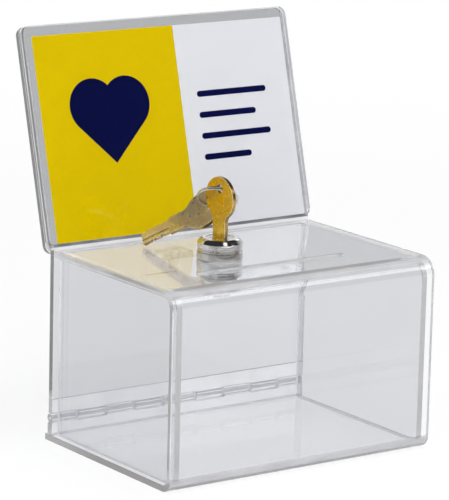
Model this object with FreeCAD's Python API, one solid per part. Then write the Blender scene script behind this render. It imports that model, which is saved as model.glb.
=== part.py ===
import FreeCAD, Part
import math
import os

# Counter-top donation box of clear sheet: a bent wrap with two side panels, a hinged back door that carries
# a tilted sign header, and a keyed cam lock through the top with a second key on a ring. Millimetres.
# X runs to the right, Y to the back, Z up. The origin is the middle of the box on the surface it stands on.

# Clear box
sheet = 3.2
box_width = 158.8
box_height = 99.3
top_depth = 106.5
base_depth = 113.2
top_bend_radius = 9.5
base_bend_radius = 7.0
side_inset = 3.2
side_corner_relief = 0.5

# Money slot in the top
slot_length = 89.0
slot_width = 4.6
slot_end_flat = 0.02
slot_setback = 30.4

# Back door and its hinge
door_gap = 0.3
hinge_height = 12.0
knuckle_diameter = 4.6
knuckle_count = 9
knuckle_gap = 0.4
leaf_gap = 0.35
leaf_height = 10.0
sill_thickness = 4.0
pin_diameter = 1.6
pin_clearance = 0.05
pin_inset = 0.5

# Sign header on the door
header_rise = 0.6
header_tilt = 15.0
header_bend_radius = 5.0
header_height = 113.0
header_overhang = 2.0
header_shoulder = 2.0
header_shoulder_radius = 3.5
header_corner_radius = 4.5
header_stub = 6.0
back_sheet_drop = 1.9
pocket_gap = 1.0
spacer_width = 2.0
spacer_top_inset = 1.0
ledge_margin = 0.02
ledge_height = 1.5
card_height = 105.0
card_thickness = 0.4
card_slack = 4.4
card_shift = 1.8
card_rest_gap = 0.1

# Lock above the top
lock_offset = -15.7
lock_setback = 53.25
collar_diameter = 23.0
collar_height = 4.0
collar_chamfer = 0.5
ring_diameter = 22.3
ring_height = 1.15
ring_count = 2
bezel_height = 4.5
bezel_shoulder_diameter = 20.5
bezel_shoulder_radius = 4.0
bezel_dome = 1.5

# Lock below the top
barrel_diameter = 19.0
barrel_flats = 16.6
barrel_clearance = 0.15
barrel_past_nut = 2.7
washer_diameter = 24.0
washer_thickness = 0.8
washer_teeth = 12
washer_notch = 2.2
nut_flats = 22.0
nut_thickness = 4.0
nut_chamfer = 1.2
nut_clearance = 0.1

# Plug that turns with the key
turn_angle = 90.0
plug_diameter = 12.0
plug_clearance = 0.09
plug_head_diameter = 14.0
plug_head_height = 1.8
plug_recess = 0.2
plug_head_gap = 0.1
plug_float = 0.2
tail_size = 8.0
tail_clearance = 0.05
tail_relief = 0.2
keyway_clearance = 0.2
keyway_end_gap = 0.8

# Wafers in the plug
wafer_count = 5
wafer_pitch = 2.0
wafer_start = 6.8
wafer_thickness = 0.8
wafer_width = 5.0
wafer_round = 11.6
wafer_gap = 0.1
wafer_window_gap = 0.3
ear_reach = 2.4
ear_width = 1.2
spring_diameter = 0.9
spring_hole = 0.5
spring_length = 3.2

# Stop washer, cam and screw under the plug
stop_diameter = 15.0
stop_thickness = 1.0
stop_depth = 1.6
stop_lug_height = 1.4
stop_lug_inner = 13.2
stop_lug_outer = 16.0
stop_lug_angle = 30.0
stop_margin = 1.0
stop_start = 200.0
cam_thickness = 2.0
cam_hub_diameter = 19.0
cam_leading_width = 6.0
cam_trailing_width = 7.4
cam_corner_radius = 4.5
cam_barb = 4.6
cam_barb_radius = 2.0
hook_clearance = 0.4
hook_mouth_angle = 25.0
spring_washer_diameter = 9.0
spring_washer_thickness = 0.8
spring_washer_split = 0.8
spring_washer_clearance = 0.2
screw_diameter = 4.0
screw_clearance = 0.02
screw_head_diameter = 8.4
screw_head_height = 2.5
screw_length = 7.0
screw_end_gap = 0.5
screw_slot = 1.2

# Keeper on the door
keeper_standoff = 13.05
keeper_arm_width = 18.0
keeper_nose = 5.0
keeper_gap = 2.0
keeper_leg = 11.0
keeper_bend_radius = 2.0
keeper_pin_diameter = 5.0
keeper_pin_fit = 0.02
keeper_pin_past_cam = 1.0

# Keys and ring
key_thickness = 2.0
blade_width = 8.0
blade_length = 16.5
blade_point = 0.8
neck_width = 10.5
neck_length = 9.3
bow_width = 23.4
bow_height = 21.2
bow_hole_diameter = 4.6
bow_hole_from_end = 6.0
neck_fillet = 4.0
groove_width = 1.4
groove_depth = 0.4
groove_offset = 1.2
bite_start = 3.6
bite_width = 1.8
bite_step = 0.3
split_ring_radius = 9.93
split_ring_wire = 1.0
split_ring_height = 1.9
split_ring_groove = 0.2
split_ring_at = (2.9, 6.96, 29.22)
split_ring_heading = 48.94
split_ring_lean = 40.38
spare_tip_at = (-17.5, 42.47, 2.97)
spare_yaw = 7.49
spare_pitch = 41.34
spare_roll = 48.42

V = FreeCAD.Vector
front_y = -top_depth / 2
back_y = top_depth / 2
base_back_y = front_y + base_depth
inner_front_y = front_y + sheet
top_under = box_height - sheet
door_y = back_y + door_gap
door_rear_y = door_y + sheet
hinge_y = door_y + knuckle_diameter / 2
door_bottom = hinge_height + leaf_height
bend_z = box_height + header_rise
header_width = box_width + 2 * header_overhang
pocket_front = -sheet
pocket_back = pocket_front - pocket_gap
bend_reach = (sheet + header_bend_radius) * math.tan(math.radians(header_tilt) / 2)
ledge_start = bend_reach + ledge_margin
ledge_top = ledge_start + ledge_height
lock_y = front_y + lock_setback
bezel_base = collar_height + ring_count * ring_height
lock_face = bezel_base + bezel_height
collar_bore = barrel_diameter + 2 * barrel_clearance
nut_top = -sheet - washer_thickness
barrel_end = nut_top - nut_thickness - barrel_past_nut
plug_end = barrel_end - plug_float
stop_base = plug_end - stop_thickness
cam_base = stop_base - cam_thickness
tail_end = cam_base + tail_relief
spring_washer_base = cam_base - spring_washer_thickness
keeper_pin_y = door_y - keeper_standoff
cam_reach = keeper_pin_y - lock_y
keeper_under = box_height + stop_base + keeper_gap
key_length = blade_length + neck_length + bow_height
key_tip = lock_face - blade_length


def save(shape, node):
    """Write one named piece to its own file."""
    shape.exportStep("parts/" + node + ".step")


def block(x0, x1, y0, y1, z0, z1):
    """Box between two limits on each axis."""
    return Part.makeBox(x1 - x0, y1 - y0, z1 - z0, V(x0, y0, z0))


def disc(diameter, z0, z1):
    """Cylinder about the Z axis between two heights."""
    return Part.makeCylinder(diameter / 2, z1 - z0, V(0, 0, z0))


def tube(outer, inner, z0, z1):
    """Hollow cylinder about the Z axis."""
    return disc(outer, z0, z1).cut(disc(inner, z0, z1))


def sector(diameter, start, sweep, z0, z1):
    """Slice of a disc about the Z axis, angles in degrees."""
    slice_ = Part.makeCylinder(diameter / 2, z1 - z0, V(0, 0, z0), V(0, 0, 1), sweep)
    return slice_.rotated(V(0, 0, 0), V(0, 0, 1), start)


def square_bar(size, z0, z1):
    """Square prism about the Z axis."""
    return block(-size / 2, size / 2, -size / 2, size / 2, z0, z1)


def rounded_outline(corners, radii):
    """Closed wire through the corners, each rounded to its own radius; 0 keeps a corner sharp."""
    count = len(corners)
    starts, edges, ends = [], [], []
    for i, (here, radius) in enumerate(zip(corners, radii)):
        to_before = (corners[i - 1] - here).normalize()
        to_after = (corners[(i + 1) % count] - here).normalize()
        half = to_before.getAngle(to_after) / 2
        start = here + to_before * (radius / math.tan(half))
        end = here + to_after * (radius / math.tan(half))
        starts.append(start)
        ends.append(end)
        if radius:
            inward = (to_before + to_after).normalize()
            middle = here + inward * (radius / math.sin(half) - radius)
            edges.append(Part.Arc(start, middle, end).toShape())
    for i in range(count):
        edges.append(Part.LineSegment(ends[i], starts[(i + 1) % count]).toShape())
    return Part.Wire(Part.__sortEdges__(edges))


def rounded_prism(corners, radii, along):
    """Rounded outline swept straight along a vector."""
    return Part.Face(rounded_outline(corners, radii)).extrude(along)


def turned(points, radii=None):
    """Solid turned about the Z axis from closed (radius, height) points, corners rounded where asked."""
    corners = [V(r, 0, z) for r, z in points]
    outline = rounded_outline(corners, radii or [0] * len(corners))
    return Part.Face(outline).revolve(V(0, 0, 0), V(0, 0, 1), 360)


def in_lock(shape):
    """Move a shape drawn about the lock's axis, zero height on the box top, into place."""
    return shape.translated(V(lock_offset, lock_y, box_height))


def in_header(shape):
    """Move a shape drawn flat (Y up the slope, Z out of the front face) onto the tilted header."""
    lean = FreeCAD.Rotation(V(1, 0, 0), 90 - header_tilt)
    return shape.transformed(FreeCAD.Placement(V(0, door_y, bend_z), lean).Matrix)


def lock_hole():
    """Round hole with two flats for the lock's barrel."""
    flat = barrel_flats / 2 + barrel_clearance
    between_flats = block(-flat, flat, -collar_bore, collar_bore, -sheet - 1, 1)
    return in_lock(disc(collar_bore, -sheet - 1, 1).common(between_flats))


def money_slot():
    """Round-ended slot through the top."""
    half = slot_length / 2
    y0 = front_y + slot_setback - slot_width / 2
    y1 = y0 + slot_width
    z = top_under - 1
    corners = [V(-half, y0, z), V(half, y0, z), V(half, y1, z), V(-half, y1, z)]
    return rounded_prism(corners, [(slot_width - slot_end_flat) / 2] * 4, V(0, 0, sheet + 2))


def wrap_sheet():
    """Floor, front and top in one bent sheet."""
    corners = [(back_y, box_height), (front_y, box_height), (front_y, 0), (base_back_y, 0)]
    corners += [(base_back_y, sheet), (inner_front_y, sheet)]
    corners += [(inner_front_y, top_under), (back_y, top_under)]
    radii = [0, top_bend_radius, base_bend_radius, 0]
    radii += [0, base_bend_radius - sheet, top_bend_radius - sheet, 0]
    outline = [V(-box_width / 2, y, z) for y, z in corners]
    body = rounded_prism(outline, radii, V(box_width, 0, 0))
    return body.cut(money_slot()).cut(lock_hole())


def side_panel(x0):
    """End wall inside the wrap, its front corners clear of the bends."""
    corners = [(inner_front_y, sheet), (back_y, sheet), (back_y, top_under), (inner_front_y, top_under)]
    base_radius = base_bend_radius - sheet + side_corner_relief
    top_radius = top_bend_radius - sheet + side_corner_relief
    outline = [V(x0, y, z) for y, z in corners]
    return rounded_prism(outline, [base_radius, 0, 0, top_radius], V(sheet, 0, 0))


def hinge_rod(diameter, x0, x1):
    """Round bar on the hinge axis."""
    return Part.makeCylinder(diameter / 2, x1 - x0, V(x0, hinge_y, hinge_height), V(1, 0, 0))


def knuckled(strip, web_z0, web_z1, first):
    """Add every second knuckle to a hinge strip, each with a web that reaches the axis, and bore them."""
    pitch = box_width / knuckle_count
    for i in range(first, knuckle_count, 2):
        x0 = -box_width / 2 + i * pitch + knuckle_gap / 2
        x1 = x0 + pitch - knuckle_gap
        strip = strip.fuse(block(x0, x1, door_y, door_rear_y, web_z0, web_z1))
        strip = strip.fuse(hinge_rod(knuckle_diameter, x0, x1))
    bore = hinge_rod(pin_diameter + 2 * pin_clearance, -box_width, box_width)
    return strip.removeSplitter().cut(bore)


def hinge_sill():
    """Strip on the floor with the fixed knuckles."""
    top = hinge_height - knuckle_diameter / 2 - leaf_gap
    strip = block(-box_width / 2, box_width / 2, door_y, door_y + sill_thickness, sheet, top)
    return knuckled(strip, sheet, hinge_height, 0)


def door_hinge_leaf():
    """Strip under the door with the moving knuckles."""
    bottom = hinge_height + knuckle_diameter / 2 + leaf_gap
    strip = block(-box_width / 2, box_width / 2, door_y, door_rear_y, bottom, door_bottom)
    return knuckled(strip, hinge_height, door_bottom, 1)


def header_plate(bottom, lower_radius, z0, z1):
    """Rounded plate of the header in its own flat frame."""
    half = header_width / 2
    corners = [V(-half, bottom, z0), V(half, bottom, z0)]
    corners += [V(half, header_height, z0), V(-half, header_height, z0)]
    radii = [lower_radius, lower_radius, header_corner_radius, header_corner_radius]
    return rounded_prism(corners, radii, V(0, 0, z1 - z0))


def door_sheet():
    """Door that bends back above the box into the front sheet of the header."""
    lean = math.radians(header_tilt)
    end_y = door_y + header_stub * math.sin(lean)
    end_z = bend_z + header_stub * math.cos(lean)
    back_end = (end_y + sheet * math.cos(lean), end_z - sheet * math.sin(lean))
    back_bend = (door_rear_y, bend_z - sheet * math.tan(lean / 2))
    corners = [(door_y, door_bottom), (door_y, bend_z), (end_y, end_z)]
    corners += [back_end, back_bend, (door_rear_y, door_bottom)]
    radii = [0, header_bend_radius + sheet, 0, 0, header_bend_radius, 0]
    outline = [V(-box_width / 2, y, z) for y, z in corners]
    door = rounded_prism(outline, radii, V(box_width, 0, 0))
    front = in_header(header_plate(header_shoulder, header_shoulder_radius, -sheet, 0))
    return door.fuse(front).removeSplitter()


def header_back_sheet():
    """Rear sheet of the sign pocket."""
    return in_header(header_plate(-back_sheet_drop, header_corner_radius, pocket_back - sheet, pocket_back))


def side_spacer(x0):
    """Strip between the header sheets along one side."""
    top = header_height - spacer_top_inset
    strip = block(x0, x0 + spacer_width, ledge_top, top, pocket_back, pocket_front)
    outline = header_plate(header_shoulder, header_shoulder_radius, pocket_back, pocket_front)
    return in_header(strip.common(outline))


def bottom_spacer():
    """Ledge between the header sheets that the card stands on."""
    half = header_width / 2 - spacer_width
    return in_header(block(-half, half, ledge_start, ledge_top, pocket_back, pocket_front))


def sign_card():
    """Card in the header's pocket."""
    half = (header_width - 2 * spacer_width - card_slack) / 2
    y0 = ledge_top + card_rest_gap
    z0 = (pocket_front + pocket_back - card_thickness) / 2
    card = block(card_shift - half, card_shift + half, y0, y0 + card_height, z0, z0 + card_thickness)
    return in_header(card)


def keeper_arm():
    """Bent bracket inside the door that holds the keeper pin."""
    top = keeper_under + sheet
    nose = keeper_pin_y - keeper_nose
    foot = keeper_under - keeper_leg
    corners = [(nose, top), (nose, keeper_under), (door_y - sheet, keeper_under), (door_y - sheet, foot)]
    corners += [(door_y, foot), (door_y, top)]
    radii = [0, 0, keeper_bend_radius, 0, 0, keeper_bend_radius + sheet]
    outline = [V(lock_offset - keeper_arm_width / 2, y, z) for y, z in corners]
    arm = rounded_prism(outline, radii, V(keeper_arm_width, 0, 0))
    hole = disc(keeper_pin_diameter + 2 * keeper_pin_fit, keeper_under - 1, top + 1)
    return arm.cut(hole.translated(V(lock_offset, keeper_pin_y, 0)))


def keeper_pin():
    """Pin the cam hooks round."""
    low = box_height + cam_base - keeper_pin_past_cam
    return disc(keeper_pin_diameter, low, keeper_under + sheet).translated(V(lock_offset, keeper_pin_y, 0))


def lock_collar():
    """Lower collar on the box top, its foot chamfered."""
    r = collar_diameter / 2
    bore = collar_bore / 2
    c = collar_chamfer
    return turned([(bore, 0), (r - c, 0), (r, c), (r, collar_height), (bore, collar_height)])


def lock_spacer_rings():
    """Thin rings between collar and bezel."""
    rings = []
    for i in range(ring_count):
        z0 = collar_height + i * ring_height
        rings.append(tube(ring_diameter, collar_bore, z0, z0 + ring_height))
    return Part.makeCompound(rings)


def lock_housing():
    """Bezel and barrel, bored for the plug, with flats and the recess for the stop lug."""
    head_r = plug_head_diameter / 2 + plug_clearance
    head_z = lock_face - plug_recess - plug_head_height - plug_head_gap
    bore_r = plug_diameter / 2 + plug_clearance
    r = collar_diameter / 2
    outline = [(head_r, lock_face), (bezel_shoulder_diameter / 2, lock_face), (r, lock_face - bezel_dome)]
    outline += [(r, bezel_base), (barrel_diameter / 2, bezel_base), (barrel_diameter / 2, barrel_end)]
    outline += [(bore_r, barrel_end), (bore_r, head_z), (head_r, head_z)]
    radii = [0, bezel_shoulder_radius] + [0] * (len(outline) - 2)
    body = turned(outline, radii)
    for side in (-1, 1):
        waste = block(-r, r, -collar_bore, collar_bore, barrel_end - 1, bezel_base)
        body = body.cut(waste.translated(V(side * (barrel_flats / 2 + r), 0, 0)))
    start = stop_start - stop_margin
    sweep = turn_angle + stop_lug_angle + 2 * stop_margin
    return body.cut(sector(collar_diameter, start, sweep, barrel_end - 1, barrel_end + stop_depth))


def lock_washer():
    """Toothed washer under the top."""
    body = tube(washer_diameter, collar_bore, nut_top, -sheet)
    for i in range(washer_teeth):
        notch = disc(washer_notch, nut_top - 1, 1).translated(V(washer_diameter / 2, 0, 0))
        body = body.cut(notch.rotated(V(0, 0, 0), V(0, 0, 1), i * 360 / washer_teeth))
    return body


def lock_nut():
    """Hexagon nut on the barrel, its lower corners chamfered."""
    corner = nut_flats / math.sqrt(3)
    low = nut_top - nut_thickness
    points = [V(corner, 0, low)]
    for i in range(1, 7):
        points.append(V(corner * math.cos(i * math.pi / 3), corner * math.sin(i * math.pi / 3), low))
    body = Part.Face(Part.makePolygon(points)).extrude(V(0, 0, nut_thickness))
    slope = nut_chamfer * math.tan(math.radians(30))
    rim = [(0, low), (corner - nut_chamfer, low), (corner, low + slope), (corner, nut_top), (0, nut_top)]
    body = body.common(turned(rim))
    return body.cut(disc(barrel_diameter + 2 * nut_clearance, low - 1, nut_top + 1))


def wafer_height(index):
    """Middle height of one wafer."""
    return lock_face - wafer_start - index * wafer_pitch


def lock_plug():
    """Plug with head, square tail, keyway, wafer slots and the screw hole."""
    top = lock_face - plug_recess
    body = disc(plug_diameter, plug_end, top).fuse(disc(plug_head_diameter, top - plug_head_height, top))
    body = body.fuse(square_bar(tail_size, tail_end, plug_end)).removeSplitter()
    x = key_thickness / 2 + keyway_clearance
    y = blade_width / 2 + keyway_clearance
    body = body.cut(block(-x, x, -y, y, key_tip - keyway_end_gap, top + 1))
    slot = wafer_thickness / 2 + wafer_gap
    reach = wafer_width / 2 + wafer_gap
    for i in range(wafer_count):
        z = wafer_height(i)
        body = body.cut(block(-reach, reach, -plug_diameter, plug_diameter, z - slot, z + slot))
        ear = block(0, reach + ear_reach, -spring_length - ear_width, ear_width, z - slot, z + slot)
        body = body.cut(ear)
    hole_top = spring_washer_base + screw_length + screw_end_gap
    return body.cut(disc(screw_diameter + 2 * screw_clearance, tail_end - 1, hole_top))


def wafer_tumblers():
    """Flat wafers with a window for the blade and an ear for the spring."""
    wafers = []
    x = key_thickness / 2 + wafer_window_gap
    y = blade_width / 2 + wafer_window_gap
    for i in range(wafer_count):
        z0 = wafer_height(i) - wafer_thickness / 2
        z1 = z0 + wafer_thickness
        body = block(-wafer_width / 2, wafer_width / 2, -wafer_round, wafer_round, z0, z1)
        body = body.common(disc(wafer_round, z0, z1))
        ear = block(x + wafer_gap, wafer_width / 2 + ear_reach, 0, ear_width - wafer_gap, z0, z1)
        wafers.append(body.fuse(ear).removeSplitter().cut(block(-x, x, -y, y, z0, z1)))
    return Part.makeCompound(wafers)


def wafer_springs():
    """One spring beside each wafer, drawn as a plain sleeve."""
    springs = []
    x = wafer_width / 2 + ear_reach / 2
    for i in range(wafer_count):
        foot = V(x, -spring_length, wafer_height(i))
        sleeve = Part.makeCylinder(spring_diameter / 2, spring_length, foot, V(0, 1, 0))
        springs.append(sleeve.cut(Part.makeCylinder(spring_hole / 2, spring_length, foot, V(0, 1, 0))))
    return Part.makeCompound(springs)


def stop_washer():
    """Washer on the tail with the lug that meets both ends of the barrel's recess."""
    body = disc(stop_diameter, stop_base, plug_end)
    lug = sector(stop_lug_outer, stop_start, stop_lug_angle, stop_base, barrel_end + stop_lug_height)
    lug = lug.cut(disc(stop_lug_inner, plug_end, barrel_end + stop_lug_height))
    body = body.fuse(lug).removeSplitter()
    return body.cut(square_bar(tail_size + 2 * tail_clearance, stop_base, plug_end))


def lock_cam():
    """Hooked cam: its throat follows the keeper pin's path as the plug turns."""
    half = keeper_pin_diameter / 2 + hook_clearance
    tip = cam_reach + half + cam_barb
    low, high = -cam_trailing_width, cam_leading_width
    corners = [V(0, low, cam_base), V(tip, low, cam_base), V(tip, high, cam_base), V(0, high, cam_base)]
    arm = rounded_prism(corners, [0, cam_corner_radius, cam_barb_radius, 0], V(0, 0, cam_thickness))
    body = disc(cam_hub_diameter, cam_base, stop_base).fuse(arm).removeSplitter()
    outer = sector(2 * (cam_reach + half), 0, hook_mouth_angle, cam_base, stop_base)
    throat = outer.cut(disc(2 * (cam_reach - half), cam_base, stop_base))
    seat = disc(2 * half, cam_base, stop_base).translated(V(cam_reach, 0, 0))
    return body.cut(throat).cut(seat).cut(square_bar(tail_size + 2 * tail_clearance, cam_base, stop_base))


def cam_washer():
    """Split spring washer under the cam."""
    bore = screw_diameter + 2 * spring_washer_clearance
    body = tube(spring_washer_diameter, bore, spring_washer_base, cam_base)
    return body.cut(block(0, spring_washer_diameter, 0, spring_washer_split, spring_washer_base, cam_base))


def cam_screw():
    """Slotted screw that holds the cam."""
    low = spring_washer_base - screw_head_height
    body = disc(screw_head_diameter, low, spring_washer_base)
    body = body.fuse(disc(screw_diameter, spring_washer_base, spring_washer_base + screw_length))
    half = screw_slot / 2
    reach = screw_head_diameter
    return body.cut(block(-half, half, -reach, reach, low, low + screw_slot))


def bow_and_neck():
    """Oval grip and neck of the key, filleted where they meet, with the ring hole."""
    mid = key_length - bow_height / 2
    x = key_thickness / 2
    y = neck_width / 2
    oval = Part.Ellipse(V(-x, bow_width / 2, mid), V(-x, 0, mid + bow_height / 2), V(-x, 0, mid)).toShape()
    body = Part.Face(Part.Wire(oval)).extrude(V(key_thickness, 0, 0))
    body = body.fuse(block(-x, x, -y, y, blade_length, mid)).removeSplitter()
    across = [e for e in body.Edges if e.BoundBox.XLength > x]
    corners = [e for e in across if blade_length + neck_length / 2 < e.CenterOfMass.z < mid]
    body = body.makeFillet(neck_fillet, corners)
    foot = V(-key_thickness, 0, key_length - bow_hole_from_end)
    return body.cut(Part.makeCylinder(bow_hole_diameter / 2, 2 * key_thickness, foot, V(1, 0, 0)))


def key_blank():
    """A key standing on its tip with its flat faces across X: blade, neck and bow."""
    x = key_thickness / 2
    w = blade_width / 2
    corners = [V(-x, -w, blade_length), V(-x, -w, 0), V(-x, w, 0), V(-x, w, blade_length)]
    blade = rounded_prism(corners, [0, blade_point, blade_point, 0], V(key_thickness, 0, 0))
    for side in (-1, 1):
        cut_x = side * (key_thickness - groove_depth)
        y = side * groove_offset
        groove = block(cut_x - x, cut_x + x, y - groove_width / 2, y + groove_width / 2, -1, blade_length)
        blade = blade.cut(groove)
    for i in range(wafer_count):
        z = bite_start + i * wafer_pitch
        depth = bite_step * (1 + i * 2 % 3)
        bite = [V(-x, -w, z - bite_width / 2), V(-x, depth - w, z), V(-x, -w, z + bite_width / 2)]
        bite.append(bite[0])
        blade = blade.cut(Part.Face(Part.makePolygon(bite)).extrude(V(key_thickness, 0, 0)))
    return blade.fuse(bow_and_neck()).removeSplitter()


def lock_key():
    """Key standing in the lock, shoulders on the plug's rim."""
    return in_lock(key_blank().translated(V(0, 0, key_tip)))


def spare_key():
    """Second key, hanging from the ring with its tip down on the top."""
    turn = FreeCAD.Rotation(spare_yaw, spare_pitch, spare_roll)
    return in_lock(key_blank().transformed(FreeCAD.Placement(V(*spare_tip_at), turn).Matrix))


def key_ring():
    """Split ring of two turns through both keys."""
    r0 = split_ring_radius - split_ring_wire / 2
    r1 = split_ring_radius + split_ring_wire / 2
    h = split_ring_height / 2
    g = split_ring_groove
    outline = [(r0, -h), (r1, -h), (r1, -g), (r1 - g, 0), (r1, g), (r1, h)]
    outline += [(r0, h), (r0, g), (r0 + g, 0), (r0, -g)]
    turn = FreeCAD.Rotation(split_ring_heading, split_ring_lean, 0)
    return in_lock(turned(outline).transformed(FreeCAD.Placement(V(*split_ring_at), turn).Matrix))


def build():
    """Make every piece and write it."""
    left_x = -box_width / 2 + side_inset
    spacer_x = header_width / 2 - spacer_width
    save(wrap_sheet(), "wrap_sheet")
    save(side_panel(left_x), "left_side_panel")
    save(side_panel(-left_x - sheet), "right_side_panel")
    save(hinge_sill(), "hinge_sill")
    save(hinge_rod(pin_diameter, pin_inset - box_width / 2, box_width / 2 - pin_inset), "hinge_pin")
    save(in_lock(lock_collar()), "lock_collar")
    save(in_lock(lock_spacer_rings()), "lock_spacer_rings")
    save(in_lock(lock_housing()), "lock_housing")
    save(in_lock(lock_washer()), "lock_washer")
    save(in_lock(lock_nut()), "lock_nut")
    save(in_lock(lock_plug()), "lock_plug")
    save(in_lock(wafer_tumblers()), "wafer_tumblers")
    save(in_lock(wafer_springs()), "wafer_springs")
    save(in_lock(stop_washer()), "stop_washer")
    save(in_lock(lock_cam()), "lock_cam")
    save(in_lock(cam_washer()), "cam_washer")
    save(in_lock(cam_screw()), "cam_screw")
    save(lock_key(), "lock_key")
    save(key_ring(), "key_ring")
    save(spare_key(), "spare_key")
    save(door_sheet(), "door_sheet")
    save(door_hinge_leaf(), "door_hinge_leaf")
    save(header_back_sheet(), "header_back_sheet")
    save(side_spacer(-spacer_x - spacer_width), "left_pocket_spacer")
    save(side_spacer(spacer_x), "right_pocket_spacer")
    save(bottom_spacer(), "bottom_pocket_spacer")
    save(keeper_arm(), "keeper_arm")
    save(keeper_pin(), "keeper_pin")
    save(sign_card(), "sign_card")


os.makedirs("parts", exist_ok=True)
build()
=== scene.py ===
"""Looks of a clear counter-top donation box with a keyed lock and a sign header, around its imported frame."""

import logging
import math
from collections.abc import Callable, Sequence
from dataclasses import dataclass, field
from enum import Enum

import bpy
from mathutils import Matrix, Vector


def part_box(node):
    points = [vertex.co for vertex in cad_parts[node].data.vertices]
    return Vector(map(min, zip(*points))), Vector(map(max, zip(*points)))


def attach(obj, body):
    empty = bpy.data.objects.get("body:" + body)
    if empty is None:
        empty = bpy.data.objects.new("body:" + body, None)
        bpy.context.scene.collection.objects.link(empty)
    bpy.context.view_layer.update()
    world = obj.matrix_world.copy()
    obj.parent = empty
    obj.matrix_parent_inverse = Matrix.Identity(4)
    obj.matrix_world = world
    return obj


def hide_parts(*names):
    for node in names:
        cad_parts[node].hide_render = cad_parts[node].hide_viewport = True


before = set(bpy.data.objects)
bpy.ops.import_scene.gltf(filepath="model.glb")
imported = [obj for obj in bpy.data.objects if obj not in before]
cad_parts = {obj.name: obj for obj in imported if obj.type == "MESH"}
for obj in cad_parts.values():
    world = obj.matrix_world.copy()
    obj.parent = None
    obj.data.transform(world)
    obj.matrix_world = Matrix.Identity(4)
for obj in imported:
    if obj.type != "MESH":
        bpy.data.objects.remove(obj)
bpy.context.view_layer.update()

MM = 0.001
ARC_STEPS = 14
ROUND_STEPS = 96
HOLE_STEPS = 48
BORE_STEPS = 24
HALVINGS = 60
SHARP_ANGLE = 32.0
ROUND_ANGLE = 50.0
STRAIGHT = 0.99999
MIX_INPUTS = (0, 6, 7)
MIX_OUTPUT = 2
WHITE = (1.0, 1.0, 1.0, 1.0)

Pair = tuple[float, float]
Triple = tuple[float, float, float]
Colour = tuple[float, float, float, float]

log = logging.getLogger("donation_box")


class Carving(Enum):
    """How one mesh changes another."""

    CUT = "DIFFERENCE"
    JOIN = "UNION"


class Blend(Enum):
    """How one colour is laid over another."""

    OVER = "MIX"
    TIMES = "MULTIPLY"


class Side(Enum):
    """Which side of a fold's line its sheet lies on, looking along the line."""

    LEFT = 1
    RIGHT = -1


class Face(Enum):
    """Part of a sheet that a face belongs to, as the number of its material slot."""

    FLAT = 0
    EDGE = 1
    BEND = 2


class Value:
    """A node's output that takes part in Python expressions; each operator adds one Math node."""

    def __init__(self, graph: "Graph", socket: bpy.types.NodeSocket) -> None:
        """Wrap an output socket of a graph."""
        self.graph = graph
        self.socket = socket

    def _math(self, operation: str, *terms: "Value | float") -> "Value":
        """Add one Math node over the terms.

        Args:
            operation: the Math node's operation.
            terms: its inputs in order.

        Returns:
            The node's output.
        """
        return self.graph.node("ShaderNodeMath", {"operation": operation}, dict(enumerate(terms)))

    def __add__(self, other: "Value | float") -> "Value":
        """Sum."""
        return self._math("ADD", self, other)

    def __radd__(self, other: float) -> "Value":
        """Sum with a number in front."""
        return self._math("ADD", other, self)

    def __sub__(self, other: "Value | float") -> "Value":
        """Difference."""
        return self._math("SUBTRACT", self, other)

    def __rsub__(self, other: float) -> "Value":
        """Difference from a number."""
        return self._math("SUBTRACT", other, self)

    def __mul__(self, other: "Value | float") -> "Value":
        """Product."""
        return self._math("MULTIPLY", self, other)

    def __rmul__(self, other: float) -> "Value":
        """Product with a number in front."""
        return self._math("MULTIPLY", other, self)

    def __truediv__(self, other: "Value | float") -> "Value":
        """Quotient."""
        return self._math("DIVIDE", self, other)

    def __pow__(self, power: float) -> "Value":
        """Power."""
        return self._math("POWER", self, power)

    def __abs__(self) -> "Value":
        """Size without sign."""
        return self._math("ABSOLUTE", self)

    def most(self, other: "Value | float") -> "Value":
        """The larger of two."""
        return self._math("MAXIMUM", self, other)

    def least(self, other: "Value | float") -> "Value":
        """The smaller of two."""
        return self._math("MINIMUM", self, other)

    def step(self, low: float, high: float) -> "Value":
        """Smooth step from 0 at low to 1 at high.

        Args:
            low: where the step starts.
            high: where it ends; below low, the step falls instead.

        Returns:
            The stepped value.
        """
        limits = {"Value": self, "From Min": low, "From Max": high}
        return self.graph.node("ShaderNodeMapRange", {"interpolation_type": "SMOOTHSTEP"}, limits)


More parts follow.
